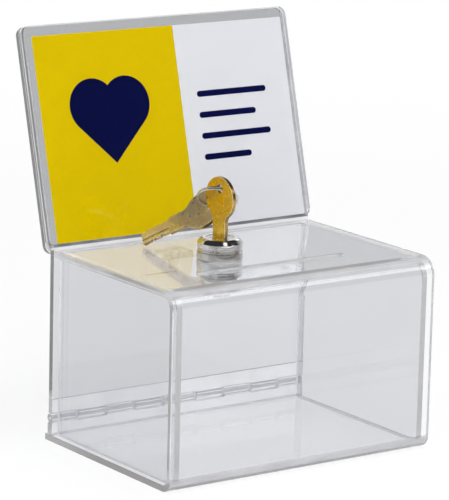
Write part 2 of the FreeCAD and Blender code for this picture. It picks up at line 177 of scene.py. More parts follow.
class Graph:
    """Node tree of a material or of the world."""

    SHOWN_RAYS = ("Is Camera Ray", "Is Glossy Ray", "Is Transmission Ray")

    def __init__(self, owner: bpy.types.Material | bpy.types.World) -> None:
        """Empty the owner's tree and start on it.

        Args:
            owner: the material or the world.
        """
        owner.use_nodes = True
        self.tree = owner.node_tree
        self.tree.nodes.clear()

    def node(
        self,
        kind: str,
        settings: dict | None = None,
        sockets: dict | None = None,
        output: int | str = 0,
    ) -> Value | None:
        """Add one node.

        Args:
            kind: the node's type.
            settings: properties that are set first; stops are a colour ramp's.
            sockets: a value or a link for each input, by name or number.
            output: the output wanted, by name or number.

        Returns:
            That output, or None for a node that has none.
        """
        made = self.tree.nodes.new(kind)
        for key, value in (settings or {}).items():
            if key == "stops":
                self._set_stops(made.color_ramp, value)
            else:
                setattr(made, key, value)
        for key, value in (sockets or {}).items():
            if isinstance(value, Value):
                self.tree.links.new(value.socket, made.inputs[key])
            else:
                made.inputs[key].default_value = value
        return Value(self, made.outputs[output]) if made.outputs else None

    @staticmethod
    def _set_stops(ramp: bpy.types.ColorRamp, stops: Sequence[tuple[float, Colour]]) -> None:
        """Give a ramp its stops.

        Args:
            ramp: the ramp of a node.
            stops: place and colour of each, in rising order.
        """
        while len(ramp.elements) < len(stops):
            ramp.elements.new(1.0)
        for element, (place, colour) in zip(ramp.elements, stops):
            element.position = place
            element.color = colour

    def place(self) -> Value:
        """Where a point is on its own piece, in metres."""
        return self.node("ShaderNodeTexCoord", output="Object")

    def axes(self, vector: Value) -> tuple[Value, Value, Value]:
        """Split a vector into its three numbers.

        Args:
            vector: the vector.

        Returns:
            Its x, y and z.
        """
        split = self.node("ShaderNodeSeparateXYZ", None, {0: vector}).socket.node
        return tuple(Value(self, output) for output in split.outputs)

    def stretched(self, vector: Value, scale: Triple) -> Value:
        """The vector with each axis scaled."""
        return self.node("ShaderNodeMapping", None, {"Vector": vector, "Scale": scale})

    def noise(self, vector: Value, scale: float, detail: float = 2.0, rough: float = 0.5) -> Value:
        """Soft random pattern from 0 to 1.

        Args:
            vector: where to read it.
            scale: patches in a metre.
            detail: layers of finer pattern.
            rough: strength of the finer layers.

        Returns:
            The pattern.
        """
        sockets = {"Vector": vector, "Scale": scale, "Detail": detail, "Roughness": rough}
        return self.node("ShaderNodeTexNoise", {"noise_dimensions": "3D"}, sockets)

    def mix(
        self,
        share: Value | float,
        first: Value | Colour,
        second: Value | Colour,
        blend: Blend = Blend.OVER,
    ) -> Value:
        """Blend two colours.

        Args:
            share: how much of the second shows.
            first: the colour at 0.
            second: the colour at 1, or what the first is multiplied by there.
            blend: how the second is laid over the first.

        Returns:
            The blended colour.
        """
        settings = {"data_type": "RGBA", "blend_type": blend.value}
        sockets = dict(zip(MIX_INPUTS, (share, first, second)))
        return self.node("ShaderNodeMix", settings, sockets, MIX_OUTPUT)

    def bump(self, height: Value, depth: float, strength: float = 1.0) -> Value:
        """Normal of a relief.

        Args:
            height: the relief from 0 to 1.
            depth: its depth in millimetres.
            strength: how much of it shows.

        Returns:
            The normal.
        """
        sockets = {"Strength": strength, "Distance": depth * MM, "Height": height}
        return self.node("ShaderNodeBump", None, sockets)

    def light_path(self, name: str) -> Value:
        """One of the tests on the kind of ray."""
        return self.node("ShaderNodeLightPath", output=name)

    def shown_ray(self) -> Value:
        """1 for rays that show a background: direct, mirrored and through glass."""
        direct, mirrored, through = map(self.light_path, self.SHOWN_RAYS)
        return direct.most(mirrored).most(through)

    def lit_through(self, shader: Value, colour: Colour) -> Value:
        """Let the lamps' light through a shader.

        Args:
            shader: what shows.
            colour: the colour that the light takes on.

        Returns:
            The shader that does both.
        """
        lamp = self.light_path("Is Shadow Ray")
        open_way = self.node("ShaderNodeBsdfTransparent", None, {"Color": colour})
        return self.node("ShaderNodeMixShader", None, {0: lamp, 1: shader, 2: open_way})

    def principled(self, **sockets: Value | float | Colour) -> Value:
        """Add the main shader, its sockets named with underscores for spaces."""
        named = {key.replace("_", " "): value for key, value in sockets.items()}
        return self.node("ShaderNodeBsdfPrincipled", None, named)

    def surface(self, shader: Value) -> None:
        """Make a shader the material's surface."""
        self.node("ShaderNodeOutputMaterial", None, {"Surface": shader})


@dataclass(frozen=True)
class Finish:
    """A named finish; each kind draws its own graph."""

    name: str

    def draw(self, graph: Graph) -> Value:
        """Draw the finish; every kind has its own."""
        raise NotImplementedError

    def layers(self) -> "list[Finish]":
        """Finishes of flat faces, cut edges and bends, as far as they differ."""
        return [self]

    def dress(self, made: bpy.types.Object) -> None:
        """Give a piece this finish, and its edges and bends theirs.

        Args:
            made: a piece with a slot for every kind of face.
        """
        slots, layers = made.data.materials, self.layers()
        while len(slots) > len(layers):
            slots.pop()
        for i, layer in enumerate(layers):
            slots[i] = layer.material()

    def material(self) -> bpy.types.Material:
        """Make the finish's material, once.

        Returns:
            The material.
        """
        made = bpy.data.materials.get(self.name)
        if made is None:
            made = bpy.data.materials.new(self.name)
            graph = Graph(made)
            graph.surface(self.draw(graph))
        return made


@dataclass(frozen=True)
class SatinAcrylic(Finish):
    """Acrylic with a diffuse share: a scraped edge with fine tool marks, or a bend whose grey or white is
    painted light and painted highlight.

    The foot is a painted shade: a darker colour near the ground, up to a height, where it is given.
    """

    dark: Colour = (0.62, 0.62, 0.65, 1.0)
    light: Colour = (0.90, 0.90, 0.92, 1.0)
    satin: float = 0.22
    # foot: painted shade near the ground, not a colour of the acrylic
    clear: float = 0.5
    foot: Colour | None = None
    painted_shade_top: float = 8.0
    ior: float = 1.49
    mark_scale: float = 900.0
    patch_scale: float = 60.0
    mark_depth: float = 0.1
    mark_grain: float = 0.6
    patch_edge: Pair = (0.3, 0.7)

    def draw(self, graph: Graph) -> Value:
        """Draw the satin, which lets the lamps through as the sheet does.

        Args:
            graph: where to draw.

        Returns:
            The shader.
        """
        place = graph.place()
        marks = graph.noise(place, self.mark_scale, detail=3.0, rough=self.mark_grain)
        patches = graph.noise(place, self.patch_scale, detail=3.0)
        colour = graph.mix(patches.step(*self.patch_edge), self.dark, self.light)
        # painted shade: the edge is darker near the ground, where the floor shades it
        if self.foot:
            height = graph.axes(place)[2] / MM
            colour = graph.mix(height.step(self.painted_shade_top, self.painted_shade_top / 2), colour, self.foot)
        glow = graph.principled(
            Base_Color=colour,
            Roughness=marks * self.satin + self.satin,
            IOR=self.ior,
            Transmission_Weight=self.clear,
            Normal=graph.bump(marks, self.satin * self.mark_depth),
        )
        return graph.lit_through(glow, self.light)


@dataclass(frozen=True)
class ClearAcrylic(Finish):
    """Clear cast sheet: tinted a little, faintly rippled, with a thin film of handling."""

    tint: Colour = (0.935, 0.938, 0.952, 1.0)
    pale: Colour = (0.96, 0.963, 0.974, 1.0)
    haze: float = 0.02
    ripple: float = 0.004
    ior: float = 1.49
    cloud_scale: float = 26.0
    film_scale: float = 90.0
    ripple_scale: float = 45.0
    film_grain: float = 0.6
    film_edge: Pair = (0.45, 0.8)
    edge: Finish | None = None
    bend: Finish | None = None

    def layers(self) -> list[Finish]:
        """The sheet itself, its sawn edges and its bends."""
        return [self, self.edge, self.bend] if self.edge else [self]

    def colour(self, graph: Graph, place: Value) -> Value:
        """Tint of the sheet.

        Args:
            graph: where to draw.
            place: where a point is on the sheet.

        Returns:
            The colour.
        """
        clouds = graph.noise(place, self.cloud_scale, detail=3.0)
        return graph.mix(clouds, self.tint, self.pale)

    def draw(self, graph: Graph) -> Value:
        """Draw glass that lets the lamps' shadows through.

        Args:
            graph: where to draw.

        Returns:
            The shader.
        """
        place = graph.place()
        film = graph.noise(place, self.film_scale, detail=4.0, rough=self.film_grain)
        ripples = graph.noise(place, self.ripple_scale, detail=1.0)
        glass = graph.principled(
            Base_Color=self.colour(graph, place),
            Roughness=film.step(*self.film_edge) * self.haze,
            IOR=self.ior,
            Transmission_Weight=1.0,
            Normal=graph.bump(ripples, self.ripple),
        )
        return graph.lit_through(glass, self.pale)


@dataclass(frozen=True)
class RimmedAcrylic(ClearAcrylic):
    """Clear sheet with painted shade: it greys towards its rim."""

    # rim: painted shade towards the sheet's edges
    rim: Colour = (0.60, 0.605, 0.61, 1.0)
    middle: float = 55.2
    reach: Pair = (75.0, 52.0)
    fade: float = 0.82

    def colour(self, graph: Graph, place: Value) -> Value:
        """Tint of the sheet, from its clear middle to its grey rim of painted shade.

        Args:
            graph: where to draw.
            place: where a point is on the sheet.

        Returns:
            The colour.
        """
        x, y, _ = graph.axes(place)
        across, up = abs(x / MM) / self.reach[0], abs(y / MM - self.middle) / self.reach[1]
        outer = across.most(up).step(self.fade, 1.0)
        return graph.mix(outer, super().colour(graph, place), self.rim)


@dataclass(frozen=True)
class ShadedAcrylic(ClearAcrylic):
    """Clear sheet that is greyer below a line."""

    low: Colour = (0.735, 0.739, 0.758, 1.0)
    line: float = 98.0
    fade: float = 5.0

    def colour(self, graph: Graph, place: Value) -> Value:
        """Tint of the sheet, greyer under the line.

        Args:
            graph: where to draw.
            place: where a point is on the sheet.

        Returns:
            The colour.
        """
        height = graph.axes(place)[2] / MM
        under = height.step(self.line, self.line - self.fade)
        return graph.mix(under, super().colour(graph, place), self.low)


@dataclass(frozen=True)
class PlatedMetal(Finish):
    """Turned or stamped metal under a bright plate, with fine lines, stains and a soft wear."""

    colour: Colour = (0.86, 0.845, 0.82, 1.0)
    stain: Colour = (0.68, 0.66, 0.62, 1.0)
    gloss: float = 0.05
    wear: float = 0.08
    line_scale: Triple = (30.0, 30.0, 5000.0)
    line_depth: float = 0.004
    stain_scale: float = 260.0
    stain_share: float = 0.7
    stain_grain: float = 0.62
    stain_edge: Pair = (0.42, 0.72)
    line_share: float = 0.6
    metal: float = 1.0

    def draw(self, graph: Graph) -> Value:
        """Draw plated metal.

        Args:
            graph: where to draw.

        Returns:
            The shader.
        """
        place = graph.place()
        lines = graph.noise(graph.stretched(place, self.line_scale), 1.0)
        stains = graph.noise(place, self.stain_scale, detail=5.0, rough=self.stain_grain)
        stained = stains.step(*self.stain_edge)
        relief = lines * self.line_share + stains * (1.0 - self.line_share)
        return graph.principled(
            Base_Color=graph.mix(stained * self.stain_share, self.colour, self.stain),
            Metallic=self.metal,
            Roughness=stained * self.wear + lines * self.wear * 0.5 + self.gloss,
            Normal=graph.bump(relief, self.line_depth),
        )


@dataclass(frozen=True)
class TumbledBrass(Finish):
    """Stamped brass: bright on the high spots, brown where it has dulled, with small dents."""

    # the strong yellow of these two is partly painted reflection of the yellow card
    bright: Colour = (0.92, 0.65, 0.10, 1.0)
    dull: Colour = (0.74, 0.49, 0.06, 1.0)
    gloss: float = 0.16
    wear: float = 0.22
    metal: float = 1.0
    # side: painted shade on the key's sides and in its grooves
    side: Finish | None = None
    # rim: painted highlight on the bevelled rims
    rim: Finish | None = None
    blotch_scale: float = 150.0
    grain_scale: float = 1500.0
    dent_scale: float = 420.0
    grit: float = 0.6
    blotch_edge: Pair = (0.36, 0.68)
    grain_wear: float = 0.1
    dent_share: float = 0.75
    depth: float = 0.09

    def layers(self) -> list[Finish]:
        """The face, the sides and grooves in painted shade, and the rims in painted highlight."""
        return [self, self.side, self.rim] if self.rim else [self]

    def draw(self, graph: Graph) -> Value:
        """Draw tumbled brass.

        Args:
            graph: where to draw.

        Returns:
            The shader.
        """
        place = graph.place()
        blotches = graph.noise(place, self.blotch_scale, detail=6.0, rough=self.grit)
        blotch = blotches.step(*self.blotch_edge)
        grain = graph.noise(place, self.grain_scale, detail=3.0, rough=self.grit)
        dents = graph.noise(place, self.dent_scale)
        return graph.principled(
            Base_Color=graph.mix(blotch, self.bright, self.dull),
            Metallic=self.metal,
            Roughness=blotch * self.wear + grain * self.grain_wear + self.gloss,
            Normal=graph.bump(dents * self.dent_share + grain * (1.0 - self.dent_share), self.depth),
        )


@dataclass(frozen=True)
class PrintedCard(Finish):
    """Sign card: a yellow field and a white field, a heart and rules in navy, on coated paper."""

    yellow: Colour = (0.80, 0.58, 0.0, 1.0)
    white: Colour = (0.86, 0.862, 0.87, 1.0)
    navy: Colour = (0.002, 0.004, 0.055, 1.0)
    field_edge: float = 10.0
    heart_at: Pair = (-34.0, 60.0)
    heart_size: float = 20.0
    rule_left: float = 20.0
    rule_bottom: float = 38.0
    rule_pitch: float = 11.0
    rule_height: float = 3.2
    rule_lengths: tuple[float, ...] = (30.0, 44.0, 36.0, 44.0)
    print_from: float = -3.7
    blur: float = 0.1
    heart_blur: float = 0.01
    rule_blur: float = 0.15
    gloss: float = 0.45
    fibre_wear: float = 0.2
    fibre_depth: float = 0.01
    fibre_grain: float = 0.6
    fibre_scale: float = 2200.0
    mottle_scale: float = 120.0
    mottle: Colour = (0.95, 0.95, 0.95, 1.0)

    def _heart(self, across: Value, up: Value) -> Value:
        """Mask of a plain heart.

        Args:
            across: millimetres to the right of the heart's middle.
            up: millimetres above it.

        Returns:
            1 inside the heart.
        """
        x = abs(across / self.heart_size)
        y = up / self.heart_size
        lobe = (x - 0.5) ** 2 + (y - 0.5) ** 2
        point = x + abs(y)
        soft = self.heart_blur
        return lobe.step(0.5 + soft, 0.5 - soft).most(point.step(1.0 + soft, 1.0 - soft))

    def _rule(self, across: Value, up: Value, index: int) -> Value:
        """Mask of one round-ended rule.

        Args:
            across: millimetres to the right of the card's middle.
            up: millimetres up the card.
            index: which rule, from the lowest.

        Returns:
            1 on the rule.
        """
        half = self.rule_lengths[index] / 2
        radius = self.rule_height / 2
        beside = (abs(across - (self.rule_left + half)) - (half - radius)).most(0.0)
        above = up - (self.rule_bottom + index * self.rule_pitch)
        outer, inner = radius**2 * (1.0 + self.rule_blur), radius**2 * (1.0 - self.rule_blur)
        return (beside * beside + above * above).step(outer, inner)

    def draw(self, graph: Graph) -> Value:
        """Draw the print.

        Args:
            graph: where to draw.

        Returns:
            The shader.
        """
        place = graph.place()
        x, y, z = graph.axes(place)
        across, up = x / MM, y / MM
        front = (z / MM).step(self.print_from - self.blur / 2, self.print_from + self.blur / 2)
        fibre = graph.noise(place, self.fibre_scale, detail=3.0, rough=self.fibre_grain)
        mottle = graph.noise(place, self.mottle_scale, detail=3.0)
        bare = across.step(self.field_edge - self.blur, self.field_edge + self.blur).most(1.0 - front)
        ground = graph.mix(bare, self.yellow, self.white)
        ink = self._heart(across - self.heart_at[0], up - self.heart_at[1])
        for index in range(len(self.rule_lengths)):
            ink = ink.most(self._rule(across, up, index))
        printed = graph.mix(ink * front, ground, self.navy)
        shade = graph.mix(mottle, self.mottle, WHITE)
        return graph.principled(
            Base_Color=graph.mix(1.0, printed, shade, Blend.TIMES),
            Roughness=fibre * self.fibre_wear + self.gloss,
            Specular_IOR_Level=0.0,
            Normal=graph.bump(fibre, self.fibre_depth),
        )


class Finishes:
    """The finishes of this box."""

    # the sawn edge's last colour is painted shade near the ground
    EDGE = SatinAcrylic("sawn_edge", (0.86, 0.855, 0.85, 1.0), WHITE, 0.1, 0.66, (0.80, 0.78, 0.76, 1.0))
    # painted light: the cemented panel edges, which hardly show, are a diffuse white standing in for light
    # through the joint
    CEMENT = SatinAcrylic("cemented_edge", (0.95, 0.95, 0.96, 1.0), WHITE, 0.08, 0.52)
    # painted light: the bends' grey stands in for light that the bent sheet carries through, not heat
    BEND = SatinAcrylic("bend_painted_light", (0.64, 0.64, 0.655, 1.0), (0.72, 0.72, 0.735, 1.0), 0.02, 0.6)
    # painted highlight: the door's bend and the bevelled edges of door and header are a diffuse white, not a
    # blush
    PAINTED_HIGHLIGHT = SatinAcrylic("bend_painted_highlight", (0.90, 0.90, 0.91, 1.0), (0.97, 0.97, 0.98, 1.0), 0.06, 0.6)
    LIP = SatinAcrylic("polished_edge", (0.86, 0.86, 0.87, 1.0), WHITE, 0.03, 0.8)
    LEDGE = SatinAcrylic("shaded_strip", (0.26, 0.26, 0.28, 1.0), (0.42, 0.42, 0.44, 1.0), 0.1, 0.55)
    STRIP = SatinAcrylic("strip_acrylic", (0.82, 0.82, 0.84, 1.0), (0.94, 0.94, 0.95, 1.0), 0.04, 0.85)
    HINGE = SatinAcrylic("hinge_acrylic", (0.80, 0.804, 0.82, 1.0), (0.88, 0.884, 0.90, 1.0), 0.05, 0.78)
    CLEAR = ClearAcrylic(
        "bracket_acrylic", (0.98, 0.98, 0.985, 1.0), (0.99, 0.99, 0.99, 1.0), 0.01, ior=1.2
    )
    SHEET = ClearAcrylic("cast_acrylic", edge=EDGE, bend=BEND)
    # painted shade: the end panels are the wrap's acrylic tinted greyer, the right one darker than the left
    PANEL = ClearAcrylic(
        "panel_acrylic", (0.71, 0.714, 0.736, 1.0), (0.74, 0.744, 0.764, 1.0), edge=CEMENT, bend=BEND
    )
    NEAR_PANEL = ClearAcrylic(
        "near_panel_acrylic", (0.81, 0.814, 0.834, 1.0), (0.84, 0.844, 0.862, 1.0), edge=CEMENT, bend=BEND
    )
    DOOR = ShadedAcrylic(
        "door_acrylic", (0.85, 0.854, 0.872, 1.0), (0.88, 0.884, 0.898, 1.0), edge=LIP, bend=PAINTED_HIGHLIGHT
    )
    # the rear sheet's grey rim is painted shade
    REAR = RimmedAcrylic("rear_acrylic", edge=LIP, bend=PAINTED_HIGHLIGHT)
    CHROME = PlatedMetal("bright_chrome")
    # painted shade: collar and rings are the lock's chrome given darker colours; their rougher turning is real
    COLLAR = PlatedMetal("turned_collar_painted_shade", (0.70, 0.68, 0.64, 1.0), (0.54, 0.52, 0.48, 1.0), 0.1, 0.1)
    RINGS = PlatedMetal("turned_rings_painted_shade", (0.76, 0.74, 0.70, 1.0), (0.56, 0.53, 0.49, 1.0), 0.14, 0.14)
    FACE = PlatedMetal("faced_plug", (0.74, 0.72, 0.68, 1.0), (0.56, 0.53, 0.48, 1.0), 0.16, 0.16)
    ZINC = PlatedMetal("zinc_plate", (0.78, 0.79, 0.81, 1.0), (0.66, 0.66, 0.65, 1.0), 0.24, 0.2, metal=0.5)
    WIRE = PlatedMetal("spring_wire", (0.76, 0.74, 0.69, 1.0), (0.58, 0.55, 0.48, 1.0), 0.12, 0.12)
    PIN = PlatedMetal(
        "drawn_pin", (0.72, 0.73, 0.75, 1.0), (0.6, 0.6, 0.6, 1.0), 0.12, 0.1, (5000.0, 30.0, 30.0)
    )
    WAFER = TumbledBrass("stamped_brass", (0.80, 0.62, 0.28, 1.0), (0.62, 0.45, 0.18, 1.0))
    # painted shade: dark brass on the keys' sides and in their grooves
    SHADED_SIDE = TumbledBrass("painted_shade_brass", (0.52, 0.36, 0.14, 1.0), (0.24, 0.15, 0.06, 1.0), 0.2)
    # painted highlight: bright, part-diffuse brass on the keys' bevelled rims
    HIGHLIGHT_RIM = TumbledBrass("painted_highlight_brass", (1.0, 0.93, 0.68, 1.0), (0.95, 0.80, 0.46, 1.0), 0.08, 0.08, 0.3)
    KEY = TumbledBrass("tumbled_brass", side=SHADED_SIDE, rim=HIGHLIGHT_RIM)
    # partly painted reflection: the spare's brass is paler, standing in for the pale light it reflects
    SPARE = TumbledBrass(
        "brass_painted_pale_reflection", (1.0, 0.90, 0.68, 1.0), (0.86, 0.67, 0.43, 1.0), 0.2, side=SHADED_SIDE, rim=HIGHLIGHT_RIM
    )
    CARD = PrintedCard("printed_card")


def spread(start: float, end: float, steps: int = ARC_STEPS) -> list[float]:
    """Numbers in even steps.

    Args:
        start: the first.
        end: the last.
        steps: how many steps lie between them.

    Returns:
        The numbers, one more than the steps.
    """
    return [start + (end - start) * k / steps for k in range(steps + 1)]


class Outline:
    """Closed flat outline whose corners are rounded to their own radii."""

    def __init__(self, corners: Sequence[Pair], radii: Sequence[float]) -> None:
        """Keep the corners, in order, and a radius for each; 0 keeps a corner sharp."""
        self.corners = [Vector(corner) for corner in corners]
        self.radii = list(radii)

    @staticmethod
    def arc(here: Vector, before: Vector, after: Vector, radius: float) -> list[tuple[Vector, Vector]]:
        """Round one corner.

        Args:
            here: the corner.
            before: the point before it.
            after: the point after it.
            radius: the radius of the arc.

        Returns:
            Points of the arc, each with the direction of travel there.
        """
        back = (before - here).normalized()
        on = (after - here).normalized()
        half = back.angle(on) / 2
        centre = here + (back + on).normalized() * (radius / math.sin(half))
        spoke = here + back * (radius / math.tan(half)) - centre
        turn = 1.0 if back.x * on.y - back.y * on.x < 0 else -1.0
        result = []
        for angle in spread(0.0, turn * (math.pi - 2 * half)):
            spin = Matrix.Rotation(angle, 2)
            result.append((centre + spin @ spoke, spin @ -back))
        return result

    def points(self) -> list[Pair]:
        """Corners and arcs as points.

        Returns:
            The points in order.
        """
        count = len(self.corners)
        result = []
        for i, (here, radius) in enumerate(zip(self.corners, self.radii)):
            if radius:
                arc = self.arc(here, self.corners[i - 1], self.corners[(i + 1) % count], radius)
                result += [(point.x, point.y) for point, _ in arc]
            else:
                result.append((here.x, here.y))
        return result

    @classmethod
    def rectangle(cls, low: Pair, high: Pair, radii: Sequence[float]) -> "Outline":
        """Rectangle with its corners rounded in turn from the lowest.

        Args:
            low: its lowest corner.
            high: its highest corner.
            radii: four radii, anticlockwise.

        Returns:
            The outline.
        """
        return cls([low, (high[0], low[1]), high, (low[0], high[1])], radii)

    @staticmethod
    def circle(middle: Pair, radius: float, steps: int) -> list[Pair]:
        """Points round a circle, anticlockwise from its right.

        Args:
            middle: its centre.
            radius: its radius.
            steps: how many points.

        Returns:
            The points.
        """
        x, y = middle
        turns = spread(0.0, 2 * math.pi, steps)[:-1]
        return [(x + radius * math.cos(turn), y + radius * math.sin(turn)) for turn in turns]


class Fold:
    """Open line along one face of a bent sheet."""

    def __init__(
        self, corners: Sequence[Pair], radii: Sequence[float], side: Side, support: float = 0.6
    ) -> None:
        """Keep the line.

        Args:
            corners: its corners in order.
            radii: the radius of the bend at each; the ends have none.
            side: which side the sheet lies on.
            support: length of the flat row at each end of a bend.
        """
        self.corners = [Vector(corner) for corner in corners]
        self.radii = list(radii)
        self.side = side
        self.support = support

    def samples(self) -> list[tuple[Vector, Vector]]:
        """Follow the line.

        Returns:
            Points along it, each with the direction into the sheet.
        """
        points = [(self.corners[0], (self.corners[1] - self.corners[0]).normalized())]
        for i in range(1, len(self.corners) - 1):
            arc = Outline.arc(self.corners[i], self.corners[i - 1], self.corners[i + 1], self.radii[i])
            points.append((arc[0][0] - arc[0][1] * self.support, arc[0][1]))
            points += arc
            points.append((arc[-1][0] + arc[-1][1] * self.support, arc[-1][1]))
        points.append((self.corners[-1], (self.corners[-1] - self.corners[-2]).normalized()))
        turn = self.side.value
        return [(point, Vector((-way.y * turn, way.x * turn))) for point, way in points]


class Shape:
    """Ways to make and change meshes; sizes are in millimetres in the piece's own frame."""

    ALONG_X = Matrix(((0, 0, 1, 0), (1, 0, 0, 0), (0, 1, 0, 0), (0, 0, 0, 1)))

    @staticmethod
    def at(x: float, y: float, z: float) -> Matrix:
        """Move to a point given in millimetres."""
        return Matrix.Translation(Vector((x, y, z)) * MM)

    @staticmethod
    def piece(
        name: str,
        corners: Sequence[Sequence[float]],
        faces: Sequence[Sequence[int]],
        place: Matrix = Matrix.Identity(4),
        kinds: dict[int, Face] | None = None,
    ) -> bpy.types.Object:
        """Make an object from corners and faces.

        Args:
            name: the piece's name.
            corners: its vertices in millimetres.
            faces: its faces.
            place: where its own frame stands.
            kinds: which of the faces are edges or bends.

        Returns:
            The object.
        """
        mesh = bpy.data.meshes.new(name)
        mesh.from_pydata([Vector(corner) * MM for corner in corners], [], faces)
        for _ in Face:
            mesh.materials.append(None)
        for i, kind in (kinds or {}).items():
            mesh.polygons[i].material_index = kind.value
        mesh.update()
        made = bpy.data.objects.new(name, mesh)
        bpy.context.scene.collection.objects.link(made)
        made.matrix_world = place
        return made

    @classmethod
    def prism(
        cls, name: str, outline: Sequence[Pair], low: float, high: float, place: Matrix = Matrix.Identity(4)
    ) -> bpy.types.Object:
        """Extrude an outline along its own Z.

        Args:
            name: the piece's name.
            outline: anticlockwise points.
            low: where it starts.
            high: where it ends.
            place: where its own frame stands.

        Returns:
            The object.
        """
        count = len(outline)
        corners = [(x, y, low) for x, y in outline] + [(x, y, high) for x, y in outline]
        faces = [tuple(reversed(range(count))), tuple(range(count, 2 * count))]
        for i in range(count):
            j = (i + 1) % count
            faces.append((i, j, j + count, i + count))
        return cls.piece(name, corners, faces, place, {i: Face.EDGE for i in range(2, len(faces))})

    @classmethod
    def sheet(
        cls,
        name: str,
        rows: Sequence[tuple[Pair, Pair, float, float]],
        thickness: float,
        clear_up: float = 0.0,
    ) -> bpy.types.Object:
        """Bent sheet that runs across X.

        Args:
            name: the piece's name.
            rows: each line across the sheet, as its (y, z), the direction into the sheet and its ends in X.
            thickness: how thick the sheet is.
            clear_up: how far up a bend has to face before it takes the bend's painted light, from 0, always,
                to 1.

        Returns:
            The object.
        """
        corners, faces, kinds = [], [], {}
        for (y, z), (inward_y, inward_z), left, right in rows:
            deep_y, deep_z = y + inward_y * thickness, z + inward_z * thickness
            corners += [(left, y, z), (right, y, z), (right, deep_y, deep_z), (left, deep_y, deep_z)]
        for i in range(len(rows) - 1):
            straight = Vector(rows[i][1]).dot(Vector(rows[i + 1][1])) > STRAIGHT
            # rows that face up less far than clear_up stay clear sheet; the rest take the bend's painted light
            straight = straight or 0.0 <= -rows[i][1][1] < clear_up
            for k in range(4):
                a, b = 4 * i + k, 4 * i + (k + 1) % 4
                kinds[len(faces)] = Face.EDGE if k % 2 else Face.FLAT if straight else Face.BEND
                faces.append((a, b, b + 4, a + 4))
        last = len(corners)
        kinds |= {len(faces): Face.EDGE, len(faces) + 1: Face.EDGE}
        faces += [(3, 2, 1, 0), (last - 4, last - 3, last - 2, last - 1)]
        return cls.outward(cls.piece(name, corners, faces, kinds=kinds))

    @classmethod
    def lathe(
        cls,
        name: str,
        profile: Sequence[Pair],
        place: Matrix,
        shaper: Callable[[float, float, float], Pair] | None = None,
    ) -> bpy.types.Object:
        """Turn a closed profile about Z.

        Args:
            name: the piece's name.
            profile: (radius, height) points, none on the axis.
            place: where its own frame stands.
            shaper: gives (x, y) for a radius, an angle and a height, where the piece isn't plainly round.

        Returns:
            The object.
        """
        corners, faces = [], []
        count = len(profile)
        for radius, height in profile:
            for angle in spread(0.0, 2 * math.pi, ROUND_STEPS)[:-1]:
                plain = (radius * math.cos(angle), radius * math.sin(angle))
                x, y = shaper(radius, angle, height) if shaper else plain
                corners.append((x, y, height))
        for i in range(count):
            j = (i + 1) % count
            for k in range(ROUND_STEPS):
                m = (k + 1) % ROUND_STEPS
                a, b = i * ROUND_STEPS, j * ROUND_STEPS
                faces.append((a + k, a + m, b + m, b + k))
        return cls.outward(cls.piece(name, corners, faces, place))

    @staticmethod
    def outward(made: bpy.types.Object) -> bpy.types.Object:
        """Turn every face outward.

        Args:
            made: the piece.

        Returns:
            The piece.
        """
        bpy.context.view_layer.objects.active = made
        bpy.ops.object.mode_set(mode="EDIT")
        bpy.ops.mesh.select_all(action="SELECT")
        bpy.ops.mesh.normals_make_consistent(inside=False)
        bpy.ops.object.mode_set(mode="OBJECT")
        return made

    @staticmethod
    def carve(made: bpy.types.Object, how: Carving, tools: Sequence[bpy.types.Object]) -> bpy.types.Object:
        """Cut or join other meshes, and keep the result as the piece's own mesh.

        Args:
            made: the piece.
            how: cut or join.
            tools: the other meshes, which are used up.

        Returns:
            The piece.
        """
        for tool in tools:
            change = made.modifiers.new("carve", "BOOLEAN")
            change.operation = how.value
            change.solver = "EXACT"
            change.object = tool
        bpy.context.view_layer.update()
        ready = made.evaluated_get(bpy.context.evaluated_depsgraph_get())
        mesh = bpy.data.meshes.new_from_object(ready)
        made.modifiers.clear()
        made.data = mesh
        mesh.name = made.name
        for tool in tools:
            bpy.data.objects.remove(tool)
        return made

    @staticmethod
    def smooth(made: bpy.types.Object, degrees: float = SHARP_ANGLE) -> bpy.types.Object:
        """Shade smoothly where faces meet at less than an angle.

        Args:
            made: the piece.
            degrees: the angle.

        Returns:
            The piece.
        """
        made.data.shade_smooth()
        made.data.set_sharp_from_angle(angle=math.radians(degrees))
        return made

    @classmethod
    def soften(
        cls, made: bpy.types.Object, width: float, segments: int = 3, rim: Face | None = None
    ) -> bpy.types.Object:
        """Round every sharp edge a little.

        Args:
            made: the piece.
            width: how far the rounding reaches.
            segments: faces across it.
            rim: the kind that its faces are, where it isn't their neighbours'.

        Returns:
            The piece.
        """
        cls.smooth(made)
        edge = made.modifiers.new("soft_edges", "BEVEL")
        edge.width = width * MM
        edge.segments = segments
        edge.limit_method = "ANGLE"
        edge.angle_limit = math.radians(SHARP_ANGLE)
        edge.harden_normals = True
        if rim:
            edge.material = rim.value
        return made


def fit(made: bpy.types.Object, finish: Finish, body: str, slot: str, *nodes: str) -> bpy.types.Object:
    """Dress a piece and put it on its body in place of its nodes.

    Args:
        made: the piece.
        finish: its finish.
        body: the body that it moves with.
        slot: not used.
        nodes: the nodes that it stands for.

    Returns:
        The piece.
    """
    finish.dress(made)
    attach(made, body)
    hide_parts(*nodes)
    log.info("%s rides on %s", made.name, body)
    return made


def dress(node: str, finish: Finish) -> None:
    """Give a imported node, whose shape is right, its finish.

    Args:
        node: the node's name.
        finish: the finish.
    """
    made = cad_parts[node]
    made.data.materials.clear()
    made.data.materials.append(finish.material())
    log.info("%s keeps its packed shape", node)


